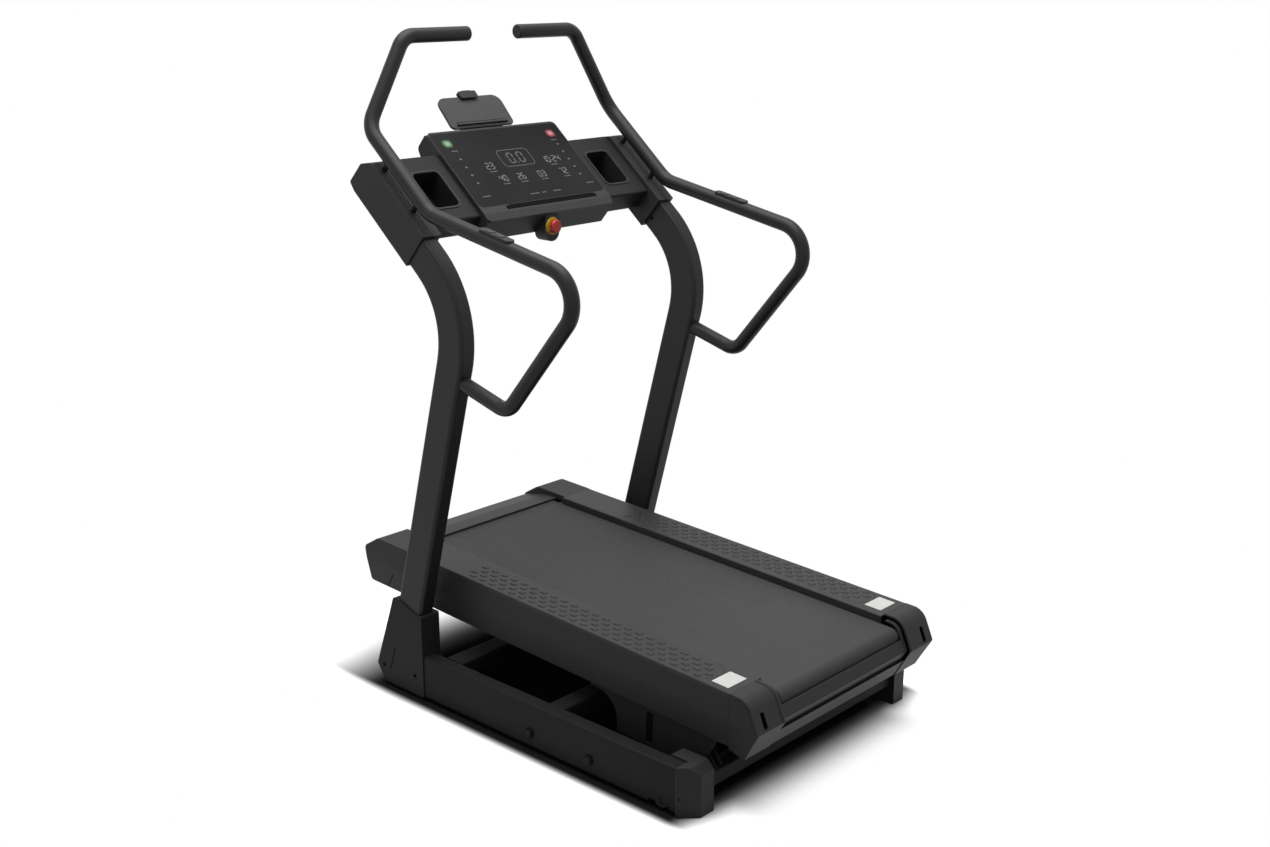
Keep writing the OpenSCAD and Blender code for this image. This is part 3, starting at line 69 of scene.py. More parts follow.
# %% A tilted plane
class Slope:
    def __init__(self, origin, node):
        face = max(nodes[node].data.polygons, key=lambda polygon: polygon.area)
        normal = face.normal if face.normal.z > 0 else -face.normal
        self.tilt = math.atan2(-normal.y, normal.z)
        self.matrix = Matrix.Translation(Vector(origin)) @ Matrix.Rotation(self.tilt, 4, "X")

    def room(self, x, u, v):
        return self.matrix @ Vector((x, u, v))

    def laid(self, points):
        return [self.room(*point) for point in points]

    def spots(self, node):
        back = self.matrix.inverted()
        return [back @ vertex.co for vertex in nodes[node].data.vertices]

    def span(self, node):
        spots = self.spots(node)
        return [Vector(pick(spot[i] for spot in spots) for i in range(3)) for pick in (min, max)]


deck = Slope(joints["deck_incline"]["pos_m"], "deck_board")
console = Slope((0, 0, 0), "display_glass")
glass_low, glass_high = console.span("display_glass")
print("deck tilt", round(math.degrees(deck.tilt), 2), "console tilt", round(math.degrees(console.tilt), 2))

# %% [markdown]
# ## Camera
#
# The treadmill is seen from behind its left rear corner, from a little above the console,
# with a lens near 45 mm. A long-ish lens keeps the uprights nearly parallel.

# %% Place the camera
SENSOR_WIDTH, LENS = 36, 44.53
CAMERA_SPOT = (-2.894, -2.659, 1.888)
CAMERA_DIP, CAMERA_TURN = 16.23, -47.38

camera_data = bpy.data.cameras.new("studio_camera")
camera_data.lens = LENS
camera_data.sensor_width = SENSOR_WIDTH
camera = bpy.data.objects.new("studio_camera", camera_data)
camera.location = CAMERA_SPOT
camera.rotation_euler = (math.radians(90 - CAMERA_DIP), 0, math.radians(CAMERA_TURN))
bpy.context.scene.collection.objects.link(camera)
bpy.context.scene.camera = camera
bpy.context.scene.view_settings.view_transform = "Standard"
print("camera at", CAMERA_SPOT)

# %% [markdown]
# ## Shader maths in plain expressions
#
# A finish is easier to read as `grain * 0.2 + 0.5` than as a picture of boxes and cables.
# Wire wraps one output socket and overloads the arithmetic signs, with the reflected forms
# so that `1 - mask` works too. Each sign adds one Math node.

# %% A wire
class Wire:
    def __init__(self, graph, socket):
        self.graph = graph
        self.socket = socket

    def maths(self, operation, *values):
        return self.graph.node("ShaderNodeMath", {"operation": operation}, *values)

    def output(self, name):
        """Another output of the node that this wire leaves."""
        return Wire(self.graph, self.socket.node.outputs[name])

    def sine(self):
        return self.maths("SINE", self)

    def at_least(self, least):
        return self.maths("MAXIMUM", self, least)

    def __abs__(self):
        return self.maths("ABSOLUTE", self)

    def __add__(self, other):
        return self.maths("ADD", self, other)

    def __sub__(self, other):
        return self.maths("SUBTRACT", self, other)

    def __rsub__(self, other):
        return self.maths("SUBTRACT", other, self)

    def __mul__(self, other):
        return self.maths("MULTIPLY", self, other)

    def __truediv__(self, other):
        return self.maths("DIVIDE", self, other)

    def __pow__(self, other):
        return self.maths("POWER", self, other)

    __radd__ = __add__
    __rmul__ = __mul__


# %% [markdown]
# ## Node trees and finishes
#
# Graph holds a node tree and one method, node, that makes any node: first its settings,
# then its sockets, by place or by name. Finish is the graph of a material, with the few
# steps that every finish takes: a noise, a blend of two colours and a bump.

# %% Graph and Finish
class Graph:
    def __init__(self, tree):
        self.tree = tree

    def feed(self, socket, value):
        if isinstance(value, Wire):
            self.tree.links.new(value.socket, socket)
        else:
            socket.default_value = value

    def node(self, kind, settings, *values, out=0, **sockets):
        node = self.tree.nodes.new(kind)
        for name, value in settings.items():
            setattr(node, name, value)
        for socket, value in zip(node.inputs, values):
            self.feed(socket, value)
        for name, value in sockets.items():
            self.feed(node.inputs[name.replace("_", " ")], value)
        return Wire(self, node.outputs[out])


class Finish(Graph):
    def __init__(self, name, **sockets):
        self.material = bpy.data.materials.new(name)
        self.material.use_nodes = True
        super().__init__(self.material.node_tree)
        self.shader = self.tree.nodes["Principled BSDF"]
        self.set(**sockets)

    def set(self, **sockets):
        for name, value in sockets.items():
            self.feed(self.shader.inputs[name.replace("_", " ")], value)

    def place(self):
        return self.node("ShaderNodeTexCoord", {}, out="Object")

    def noise(self, scale, detail=3.0, stretch=(1, 1, 1)):
        where = self.node("ShaderNodeMapping", {}, Vector=self.place(), Scale=stretch)
        return self.node("ShaderNodeTexNoise", {}, Vector=where, Scale=scale, Detail=detail)

    def blend(self, mask, dark, light):
        mixed = self.node("ShaderNodeMix", {"data_type": "RGBA"}, mask, out=2)
        dark_input, light_input = mixed.socket.node.inputs[6:8]
        self.feed(dark_input, (*dark, 1))
        self.feed(light_input, (*light, 1))
        return mixed

    def bump(self, height, distance, strength):
        self.set(Normal=self.node("ShaderNodeBump", {}, Height=height, Distance=distance, Strength=strength))


print("shader language ready")

# %% [markdown]
# ## Powder coat
#
# The frame is steel under a satin black powder coat: a hard skin with the faint waviness
# that makers call orange peel. It is nearly black, so most of what the eye reads is its
# sheen, and the roughness varies a little from place to place. A slow noise makes the
# shade uneven too, and a fine one makes the peel.

# %% Powder coat
PEEL_SCALE, PEEL_DEPTH = 420.0, 0.00012


def powder_coat(name, shade, roughness, gloss=0.2):
    finish = Finish(name, IOR=1.5, Specular_IOR_Level=gloss)
    cloud = finish.noise(6.0)
    finish.set(
        Base_Color=finish.blend(cloud, [shade * 0.85] * 3, [shade * 1.15, shade * 1.16, shade * 1.2]),
        Roughness=cloud * 0.08 + (roughness - 0.04),
    )
    finish.bump(finish.noise(PEEL_SCALE, detail=2.0), PEEL_DEPTH, 0.5)
    return finish.material


black_paint = powder_coat("satin_powder_coat", 0.027, 0.46)
# Painted shade: the base and the frame under the deck take a darker, duller copy of the satin coat, for the
# shade they stand in near the floor.
shaded_base_paint = powder_coat("shaded_base_powder_coat", 0.016, 0.55, 0.1)
bar_paint = powder_coat("handlebar_coat", 0.023, 0.4)
motor_paint = powder_coat("motor_casing_paint", 0.07, 0.5)
print("paints:", black_paint.name, shaded_base_paint.name, bar_paint.name, motor_paint.name)

# %% [markdown]
# ## Moulded plastic
#
# The covers are charcoal plastic from a spark-eroded mould, duller than the paint and with
# a much finer, pitted grain. The cells of a Voronoi texture are the pits. The foot rails
# have a coarser grain, and the tablet rest has pebbles that can be felt.

# %% Moulded plastic
def moulded(name, shade, roughness, grain=1600.0, depth=0.00012, gloss=0.2):
    finish = Finish(name, IOR=1.47, Specular_IOR_Level=gloss)
    cloud = finish.noise(5.0)
    pits = finish.node("ShaderNodeTexVoronoi", {"feature": "F1"}, Vector=finish.place(), Scale=grain)
    finish.set(
        Base_Color=finish.blend(cloud, [shade * 0.88] * 3, [shade * 1.12, shade * 1.13, shade * 1.16]),
        Roughness=cloud * 0.1 + (roughness - 0.05),
    )
    finish.bump(pits, depth, 0.35)
    return finish.material


cover_plastic = moulded("charcoal_cover_plastic", 0.034, 0.52)
# Painted shade: the boots and pivot shrouds take a darker, duller copy of the cover plastic, for the shade
# they stand in near the floor.
shaded_base_plastic = moulded("shaded_base_cover_plastic", 0.027, 0.55, gloss=0.12)
face_plastic = moulded("console_face_plastic", 0.038, 0.48)
# Painted shade: the tray is darker than the covers, for the shade in its deep cup wells.
shaded_tray_plastic = moulded("shaded_tray_plastic", 0.022, 0.5, gloss=0.14)
tread_plastic = moulded("tread_plastic", 0.044, 0.48, grain=900.0, depth=0.00025)
groove_shade_plastic = moulded("tread_groove_shade", 0.008, 0.6, grain=900.0)
shadow_plastic = moulded("recess_shadow_plastic", 0.004, 0.7, gloss=0.05)
inlet_plastic = moulded("inlet_plastic", 0.01, 0.4)
key_plastic = moulded("key_plastic", 0.05, 0.5)
pebbled_plastic = moulded("pebbled_rest_plastic", 0.068, 0.5, grain=330.0, depth=0.0016)
print("plastics mixed")

# %% [markdown]
# ## Running belt
#
# The belt's top is dark vinyl, embossed with fine wavy lines across its width so that it
# grips without wearing shoes out. A sine of the place along the belt, shaken by a slow
# noise, gives the lines. They show in the bump, and their crests are painted paler, a
# painted highlight where the light catches them. Both are bolder towards the front.

# %% Belt finish
LINES_PER_METRE, LINE_SWIRL, LINE_WANDER = 620.0, 36.0, 1.2


def belt_finish():
    finish = Finish("embossed_belt_vinyl", IOR=1.45, Specular_IOR_Level=0.2)
    up = finish.node("ShaderNodeSeparateXYZ", {}, finish.place(), out="Z")
    along = up.output("Y") + up
    wander = (up.output("X") * 40.0).sine()
    swirl = finish.noise(4.5, detail=1.5)
    line = (along * LINES_PER_METRE + wander * LINE_WANDER + swirl * LINE_SWIRL).sine()
    bold_line = line * (along * 0.75 + 0.5)
    weave = finish.noise(700.0, detail=2.0)
    # Painted highlight: the crests of the lines are painted paler, more strongly towards the front; the slow
    # noise adds uneven tone.
    shade = finish.noise(3.0) * 0.4 + (bold_line * 0.4 + 0.3)
    finish.set(
        Base_Color=finish.blend(shade, (0.04, 0.04, 0.041), (0.073, 0.074, 0.075)),
        Roughness=line * 0.03 + (weave * 0.1 + 0.53),
    )
    finish.bump(bold_line * 0.8 + weave, 0.0008, 0.8)
    return finish.material


belt_vinyl = belt_finish()
print("belt:", belt_vinyl.name)

# %% [markdown]
# ## Rubber, bare steel and board
#
# These are smaller areas, but the hidden side of a machine is looked at too: the tyres and
# feet are gritty rubber, the axles and pins are turned steel with fine rings, and the deck
# board shows fibres at its edges. Noise stretched along one axis makes rings and fibres.

# %% Rubber, steel and board
def rubber_finish():
    finish = Finish("black_rubber", IOR=1.5)
    grit = finish.noise(300.0)
    shade = finish.blend(grit, (0.01, 0.01, 0.01), (0.018, 0.018, 0.019))
    finish.set(Base_Color=shade, Roughness=grit * 0.15 + 0.65)
    finish.bump(grit, 0.0003, 0.5)
    return finish.material


def steel_finish():
    finish = Finish("turned_steel", Metallic=1.0)
    rings = finish.noise(260.0, stretch=(8, 1, 1))
    shade = finish.blend(rings, (0.32, 0.33, 0.34), (0.48, 0.49, 0.5))
    finish.set(Base_Color=shade, Roughness=rings * 0.2 + 0.25)
    finish.bump(rings, 0.0001, 0.3)
    return finish.material


def board_finish():
    finish = Finish("fibreboard")
    fibres = finish.noise(120.0, detail=5.0, stretch=(1, 1, 6))
    shade = finish.blend(fibres, (0.012, 0.009, 0.007), (0.03, 0.022, 0.016))
    finish.set(Base_Color=shade, Roughness=fibres * 0.2 + 0.6)
    finish.bump(fibres, 0.0004, 0.5)
    return finish.material


rubber = rubber_finish()
bare_steel = steel_finish()
fibreboard = board_finish()
print("rubber, steel and board mixed")

# %% [markdown]
# ## Glass and the coloured plastics
#
# The display is one black panel with a faint smear in its gloss. The stop button, its
# collar and the bare plates are smooth and coloured, so they differ only in their colour
# and shine, and one recipe makes all three.

# %% Glass and coloured plastics
def glass_finish():
    finish = Finish("black_display_glass", IOR=1.5, Specular_IOR_Level=0.07)
    smear = finish.noise(9.0, detail=4.0)
    shade = finish.blend(smear, (0.012, 0.012, 0.012), (0.018, 0.018, 0.019))
    finish.set(Base_Color=shade, Roughness=smear * 0.1 + 0.24)
    return finish.material


def gloss_finish(name, color, roughness=0.28):
    finish = Finish(name, IOR=1.5)
    cloud = finish.noise(40.0)
    dark = [channel * 0.85 for channel in color]
    finish.set(Base_Color=finish.blend(cloud, dark, color), Roughness=cloud * 0.12 + (roughness - 0.06))
    finish.bump(finish.noise(600.0, detail=1.0), 0.00008, 0.3)
    return finish.material


display_glass = glass_finish()
red_plastic = gloss_finish("stop_red_plastic", (0.62, 0.02, 0.015))
yellow_plastic = gloss_finish("collar_yellow_plastic", (0.8, 0.5, 0.02))
plate_white = gloss_finish("bare_plate_white", (0.78, 0.78, 0.76), 0.4)
print("glass and coloured plastics mixed")

# %% [markdown]
# ## Who wears what
#
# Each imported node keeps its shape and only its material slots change, so the finish is
# given once, in a table from finish to nodes.

# %% Give the nodes their finishes
wardrobe = {
    black_paint: "upright_left upright_right console_beam",
    shaded_base_paint: "base_rail_left base_rail_right base_crossbeams pivot_crossbeam side_frame_left "
                "side_frame_right deck_crossbeams frame_bolts",
    bar_paint: "handlebar_left handlebar_right",
    motor_paint: "drive_motor lift_motor motor_controller",
    cover_plastic: "rail_end_caps upright_cover_left upright_cover_right console_back side_panel_left "
                   "side_panel_right front_cover end_cap_left end_cap_right rear_guard tablet_clamp "
                   "key_pods handlebar_plugs",
    shaded_base_plastic: "boot_left boot_right pivot_shrouds",
    face_plastic: "console_face",
    shaded_tray_plastic: "console_tray",
    tread_plastic: "foot_rail_left foot_rail_right",
    pebbled_plastic: "tablet_rest",
    inlet_plastic: "power_inlet",
    key_plastic: "incline_up_key incline_down_key speed_up_key speed_down_key",
    belt_vinyl: "running_belt",
    rubber: "front_feet deck_cushions transport_wheel_left transport_wheel_right drive_belt",
    bare_steel: "hinge_pins roller_axles lift_pin front_roller rear_roller motor_rotor lift_rod",
    fibreboard: "deck_board",
    display_glass: "display_glass",
    red_plastic: "estop_button power_switch",
    yellow_plastic: "estop_collar",
}
for material, names in wardrobe.items():
    for name in names.split():
        materials = nodes[name].data.materials
        materials.clear()
        materials.append(material)
missing = set(nodes) - {name for names in wardrobe.values() for name in names.split()}
print("nodes without a finish:", missing)

# %% [markdown]
# ## A small workshop for new pieces
#
# Every piece below is a mesh made in code. One helper turns points and faces into an
# object, gives it its finish and makes it ride on a body, so that it moves with that body
# in every pose.

# %% Make a piece
def piece(name, points, faces, material, body, slot):
    mesh = bpy.data.meshes.new(name)
    mesh.from_pydata([tuple(point) for point in points], [], faces)
    mesh.validate()
    mesh.materials.append(material)
    made = bpy.data.objects.new(name, mesh)
    bpy.context.scene.collection.objects.link(made)
    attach(made, body)
    print(name, len(mesh.polygons), "faces on", body)
    return made


def joined(parts):
    """Joins (points, faces) pairs into one pair."""
    points, faces = [], []
    for part_points, part_faces in parts:
        start = len(points)
        points += part_points
        faces += [[start + index for index in face] for face in part_faces]
    return points, faces


# %% [markdown]
# ## Flat outlines and low blocks
#
# Pads, prints, plates and bars are all low blocks over a flat outline, and most outlines
# are rectangles with round corners. Prints are blocks a fraction of a millimetre high,
# with their foot just inside what they are printed on or just above it.

# %% Outlines and blocks
def prism(outline, bottom, top, taper=1.0):
    """A low block over a flat outline: (points, faces) with points as (x, u, v)."""
    count = len(outline)
    middle = [sum(point[i] for point in outline) / count for i in range(2)]
    shrunk = [[middle[i] + (point[i] - middle[i]) * taper for i in range(2)] for point in outline]
    points = [(x, u, bottom) for x, u in outline] + [(x, u, top) for x, u in shrunk]
    sides = [[i, (i + 1) % count, count + (i + 1) % count, count + i] for i in range(count)]
    return points, sides + [list(range(count, 2 * count)), list(reversed(range(count)))]


def box(x0, x1, u0, u1, v0, v1):
    return prism([(x0, u0), (x1, u0), (x1, u1), (x0, u1)], v0, v1)


def round_rect(x, u, width, height, radius, steps=4, upper=None):
    """A rectangle round (x, u) with round corners; its upper two may have their own radius."""
    outline = []
    for quarter, (sx, su) in enumerate(((1, 1), (-1, 1), (-1, -1), (1, -1))):
        r = upper if upper and su > 0 else radius
        for step in range(steps + 1):
            turn = math.pi / 2 * (quarter + step / steps)
            outline.append((x + sx * (width / 2 - r) + r * math.cos(turn),
                            u + su * (height / 2 - r) + r * math.sin(turn)))
    return outline


def strip(outer, inner, bottom, top):
    """A thin band between two open lines of the same count."""
    count = len(outer)
    points = [(x, u, v) for v in (bottom, top) for line in (outer, inner) for x, u in line]
    faces = []
    for i in range(count - 1):
        a, b, c, d = i, i + 1, count + i, count + i + 1
        faces += [[2 * count + a, 2 * count + b, 2 * count + d, 2 * count + c], [a, c, d, b],
                  [a, b, 2 * count + b, 2 * count + a], [c, 2 * count + c, 2 * count + d, d]]
    for i in (0, count - 1):
        faces.append([i, 2 * count + i, 3 * count + i, count + i])
    return points, faces


# %% [markdown]
# ## Solids with soft edges, joins and cuts
#
# Moulded pieces have no sharp edges and grow out of each other. The next helper takes a
# rough solid, softens its edges with the Bevel modifier, joins or cuts other solids with
# the Boolean modifier, and hands back the finished points and faces, so that no modifier
# stays on the piece.

# %% Carve a solid
BEVEL_STEPS, SHARP_ANGLE = 3, math.radians(40)


def carved(solid, bevel, joins=(), cuts=()):
    made = []
    for points, faces in (solid, *joins, *cuts):
        mesh = bpy.data.meshes.new("rough")
        mesh.from_pydata([tuple(point) for point in points], [], faces)
        rough = bpy.data.objects.new("rough", mesh)
        bpy.context.scene.collection.objects.link(rough)
        made.append(rough)
    base = made[0]
    soften = base.modifiers.new("soften", "BEVEL")
    soften.width = bevel
    soften.segments = BEVEL_STEPS
    soften.angle_limit = SHARP_ANGLE
    for number, other in enumerate(made[1:]):
        boolean = base.modifiers.new("boolean", "BOOLEAN")
        boolean.operation = "UNION" if number < len(joins) else "DIFFERENCE"
        boolean.solver = "EXACT"
        boolean.object = other
    ready = base.evaluated_get(bpy.context.evaluated_depsgraph_get())
    points = [vertex.co.copy() for vertex in ready.data.vertices]
    faces = [list(polygon.vertices) for polygon in ready.data.polygons]
    for rough in made:
        bpy.data.objects.remove(rough)
    return points, faces


# %% [markdown]
# ## Tread on the foot rails
#
# A walker steps onto the foot rails to stop, so each carries a strip of raised pads in
# staggered rows, with a round-ended line of painted shade about it at the rear. They are real
# bumps over a millimetre high, because a slanting light has to catch them, and each stands in
# a slightly wider dark print, painted shade that stands for the shadowed groove at its foot.

# %% Tread pads and their painted shade
PAD_ROWS, ROW_PITCH, PAD_PITCH = 4, 0.0205, 0.037
PAD_SIZE, PAD_CORNER, PAD_RISE, PAD_TAPER = (0.0125, 0.021), 0.0045, 0.0016, 0.75
GROOVE_SHADE_SIZE, GROOVE_SHADE_CORNER, GROOVE_SHADE_SHIFT = (0.0145, 0.0225), 0.005, (0.001, 0.0016)
SHADE_FOOT, SHADE_TOP = 0.00002, 0.0001
TREAD_MARGIN, TREAD_REAR, TREAD_FRONT = 0.011, 0.118, 0.21
NOSE_REACH, NOSE_MARGIN = 0.04, 0.01
RIM_GAP, RIM_REACH, RIM_WIDTH, RIM_STEPS = 0.0025, 0.0455, 0.0015, 24


def tread_rim_shade(middle, half, rear, top):
    """A thin line of painted shade round the rear end of the strip."""
    turns = [math.pi * step / RIM_STEPS for step in range(RIM_STEPS + 1)]
    lines = []
    for wide in (RIM_WIDTH, 0.0):
        across, back = half + RIM_GAP + wide, RIM_REACH + wide
        lines.append([(middle + across * math.cos(turn), rear - back * math.sin(turn)) for turn in turns])
    return strip(*lines, top + SHADE_FOOT, top + SHADE_TOP)


def tread_spots(middle, half, rear, front, sign):
    """The middles of the pads, which end in a round nose at the rear."""
    spots = []
    for row in range(PAD_ROWS):
        x = middle - sign * (row - (PAD_ROWS - 1) / 2) * ROW_PITCH
        nose = NOSE_REACH * math.sqrt(1 - ((x - middle) / half) ** 2)
        for step in range(int((front - rear + NOSE_REACH) / PAD_PITCH)):
            u = rear - NOSE_REACH + (step + 0.5 * (row % 2)) * PAD_PITCH
            if rear - nose + NOSE_MARGIN <= u <= front:
                spots.append((x, u))
    return spots


def tread(side, sign):
    low, high = deck.span(f"foot_rail_{side}")
    top = high.z
    rear, front = low.y + TREAD_REAR, high.y - TREAD_FRONT
    half = PAD_ROWS * ROW_PITCH / 2
    middle = (high.x if sign > 0 else low.x) - sign * (half + TREAD_MARGIN)
    pads, groove_shades = [], []
    for x, u in tread_spots(middle, half, rear, front, sign):
        pad = round_rect(x, u, *PAD_SIZE, PAD_CORNER, 3)
        pads.append(prism(pad, top, top + PAD_RISE, PAD_TAPER))
        # Painted shade: each dark print sits a little outwards and to the rear of its pad, where the pad's
        # shade falls.
        spot = (x + sign * GROOVE_SHADE_SHIFT[0], u - GROOVE_SHADE_SHIFT[1])
        groove = round_rect(*spot, *GROOVE_SHADE_SIZE, GROOVE_SHADE_CORNER, 3)
        groove_shades.append(prism(groove, top + SHADE_FOOT, top + SHADE_TOP))
    groove_shades.append(tread_rim_shade(middle, half, rear, top))
    for kind, parts, material in (("pads", pads, tread_plastic), ("groove_shades", groove_shades, groove_shade_plastic)):
        points, faces = joined(parts)
        piece(f"tread_{kind}_{side}", deck.laid(points), faces, material, "deck", "tread_plastic")


for side, sign in SIDES:
    tread(side, sign)

# %% [markdown]
# ## Glow
#
# What the display shows is lit from behind, and a little unevenly. So its finish is an
# emission whose colour wavers between full and four fifths. The two touch keys are green
# and red, each with a darker halo round it.

# %% Glowing finishes
def glow(name, color, strength):
    finish = Finish(name, Base_Color=(0, 0, 0, 1), Roughness=0.4)
    dim = [channel * 0.8 for channel in color]
    finish.set(Emission_Color=finish.blend(finish.noise(200.0), dim, color), Emission_Strength=strength)
    return finish.material


white_glow = glow("display_white", (0.85, 0.88, 0.9), 0.3)
dim_glow = glow("display_dim_white", (0.62, 0.64, 0.66), 0.2)
soft_glow = glow("display_grey", (0.3, 0.31, 0.33), 0.5)
green_glow = glow("start_key_green", (0.3, 0.55, 0.32), 0.8)
red_glow = glow("stop_key_red", (0.62, 0.28, 0.32), 0.9)
green_halo = glow("start_key_halo", (0.02, 0.16, 0.03), 0.9)
red_halo = glow("stop_key_halo", (0.3, 0.012, 0.025), 0.9)
print("glows ready")

# %% [markdown]
# ## Seven-segment figures
#
# Segments are flat bars with pointed ends. One table says where each of the seven lies, as
# its column, its row and which way it runs, and another which of them make a figure. All
# sizes are shares of the figure's height.

# %% Seven-segment figures
SEGMENTS = {"a": (0, 2, "flat"), "b": (1, 1, "tall"), "c": (1, 0, "tall"), "d": (0, 0, "flat"),
            "e": (0, 0, "tall"), "f": (0, 1, "tall"), "g": (0, 1, "flat")}
LIT = {"0": "abcdef", "1": "bc", "2": "abged", "3": "abgcd", "4": "fgbc", "5": "afgcd",
       "6": "afgecd", "7": "abc", "8": "abcdefg", "9": "abcdfg"}
FIGURE_WIDTH, FIGURE_STEP, BAR_LENGTH, BAR_THICK = 0.5, 0.72, 0.43, 0.1
POINT_STEP, POINT_PLACE, POINT_RISES = 0.324, 0.144, {".": (-0.5,), ":": (-0.22, 0.22)}
PRINT = glass_high.z + 0.0001
THICK = 0.0002


def bar(x, u, length, width, kind):
    half, tip = length / 2, width / 2
    body = half - tip
    outline = [(-half, 0), (-body, -tip), (body, -tip), (half, 0), (body, tip), (-body, tip)]
    if kind == "tall":
        outline = [(-b, a) for a, b in outline]
    return prism([(x + a, u + b) for a, b in outline], PRINT, PRINT + THICK)


def figure(sign, x, u, height):
    """The lit bars of one figure whose middle is at (x, u)."""
    bars = []
    for segment in LIT[sign]:
        column, row, kind = SEGMENTS[segment]
        if kind == "flat":
            place = (x, u + (row - 1) * height / 2)
        else:
            place = (x + (column - 0.5) * height * FIGURE_WIDTH, u + (row - 0.5) * height / 2)
        bars.append(bar(*place, height * BAR_LENGTH, height * BAR_THICK, kind))
    return bars


def figures(text, x, u, height):
    """A row of figures, points and colons whose middle is at (x, u)."""
    steps = [height * (FIGURE_STEP if sign.isdigit() else POINT_STEP) for sign in text]
    dot = height * BAR_THICK
    parts, at = [], x - sum(steps) / 2
    for sign, step in zip(text, steps):
        if sign.isdigit():
            parts += figure(sign, at + step / 2, u, height)
        for rise in POINT_RISES.get(sign, ()):
            outline = round_rect(at + height * POINT_PLACE, u + rise * height, dot, dot, dot * 0.3, 1)
            parts.append(prism(outline, PRINT, PRINT + THICK))
        at += step
    return parts


print("figures:", *LIT)

# %% [markdown]
# ## Readings on the display
#
# The display shows plain numbers: a big one in the middle, one either side of it and a row
# of four below. Places on the glass are given from its lower left corner, each from 0 to 1,
# so that they follow the glass.

# %% Readings
GLASS_W, GLASS_H = (glass_high - glass_low).xy
BIG_READING = ("0.0", 0.51, 0.585, 0.034)
SMALL_READINGS = [("23", 0.275, 0.51, 0.021), ("10:24", 0.765, 0.51, 0.021), ("40", 0.31, 0.33, 0.02),
                  ("26", 0.45, 0.33, 0.02), ("03", 0.615, 0.33, 0.02), ("72", 0.795, 0.33, 0.02)]


def on_glass(a, b):
    return glass_low.x + a * GLASS_W, glass_low.y + b * GLASS_H


def print_on_glass(name, parts, material):
    points, faces = joined(parts)
    piece(name, console.laid(points), faces, material, "frame", "screen_panel")


def reading(text, a, b, height):
    return figures(text, *on_glass(a, b), height)


small_figures = [part for small in SMALL_READINGS for part in reading(*small)]
print_on_glass("display_figures", small_figures, white_glow)
print_on_glass("display_big_figure", reading(*BIG_READING), dim_glow)

# %% [markdown]
# ## Frame and small marks on the display
#
# Round the big figure runs a thin rounded frame. The marks under each reading and down
# both edges are plain little dashes that stand for units and settings. The frame is a
# closed ring between two round rectangles, and the same ring serves again further on.

# %% Frame and marks
FRAME_SIZE, FRAME_CORNER, FRAME_LINE = (0.112, 0.06), 0.014, 0.0016
DASH_THIN, EDGE_DASH, DOT, DOT_OFF = 0.0022, 0.009, 0.0025, 0.008
UNDER, UNIT_DASHES = 0.95, ((-0.017, 0.009), (0.012, 0.013))
RISES = {0.105: (0.64, 0.53, 0.42, 0.31), 0.905: (0.7, 0.59, 0.48, 0.37, 0.26)}
LABELS = ((0.1, 0.13, 0.026), (0.93, 0.13, 0.026), (0.105, 0.755, 0.02), (0.9, 0.765, 0.02),
          (0.455, 0.085, 0.034), (0.53, 0.085, 0.016), (0.635, 0.085, 0.028))


def ring(x, u, width, height, radius, thin, bottom=PRINT, top=PRINT + THICK):
    outer = round_rect(x, u, width, height, radius, 6)
    inner = round_rect(x, u, width - 2 * thin, height - 2 * thin, radius - thin, 6)
    count = len(outer)
    points = [(a, b, top) for a, b in outer + inner] + [(a, b, bottom) for a, b in outer + inner]
    faces = []
    for i in range(count):
        j = (i + 1) % count
        faces += [[i, j, count + j, count + i], [2 * count + j, 2 * count + i, 3 * count + i, 3 * count + j],
                  [j, i, 2 * count + i, 2 * count + j], [count + i, count + j, 3 * count + j, 3 * count + i]]
    return points, faces


def dash(a, b, length, thin=DASH_THIN):
    return prism(round_rect(*on_glass(a, b), length, thin, thin / 3, 2), PRINT, PRINT + THICK)


marks = []
for _, a, b, height in SMALL_READINGS:
    marks += [dash(a + off, b - height * UNDER / GLASS_H, length) for off, length in UNIT_DASHES]
for a, rises in RISES.items():
    for b in rises:
        marks += [dash(a, b, EDGE_DASH), dash(a, b + DOT_OFF, DOT, DOT), dash(a, b - DOT_OFF, DOT, DOT)]
marks += [dash(*label) for label in LABELS]
frame_ring = ring(*on_glass(*BIG_READING[1:3]), *FRAME_SIZE, FRAME_CORNER, FRAME_LINE)
print_on_glass("display_frame", [frame_ring], dim_glow)
print_on_glass("display_marks", marks, soft_glow)

# %% [markdown]
# ## Touch keys
#
# The two touch keys are small rounded lit squares near the upper corners, green to start
# and red to stop. Each is a bright print on a wider and darker one, its halo.

# %% Touch keys
HALO_SIZE, KEY_SIZE, KEY_FLATTEN, KEY_ROUND, KEY_B = 0.03, 0.017, 0.86, 0.34, 0.86
TOUCH_KEYS = (("start_key", 0.09, green_halo, green_glow), ("stop_key", 0.91, red_halo, red_glow))
for name, a, halo, core in TOUCH_KEYS:
    for part, size, material, rise in (("halo", HALO_SIZE, halo, 0.0), ("print", KEY_SIZE, core, THICK)):
        outline = round_rect(*on_glass(a, KEY_B), size, size * KEY_FLATTEN, size * KEY_ROUND)
        print_on_glass(f"{name}_{part}", [prism(outline, PRINT + rise, PRINT + rise + THICK)], material)

# %% [markdown]
# ## Tablet rest
#
# Behind the screen leans a pebbled plate with large upper corners and a ledge near its
# foot, on a bracket that rises from behind the glass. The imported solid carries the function.
# This piece stands for it with the rounder outline and the softened edges of the real
# moulding, a groove above the ledge, and a channel for the clamp's arm.

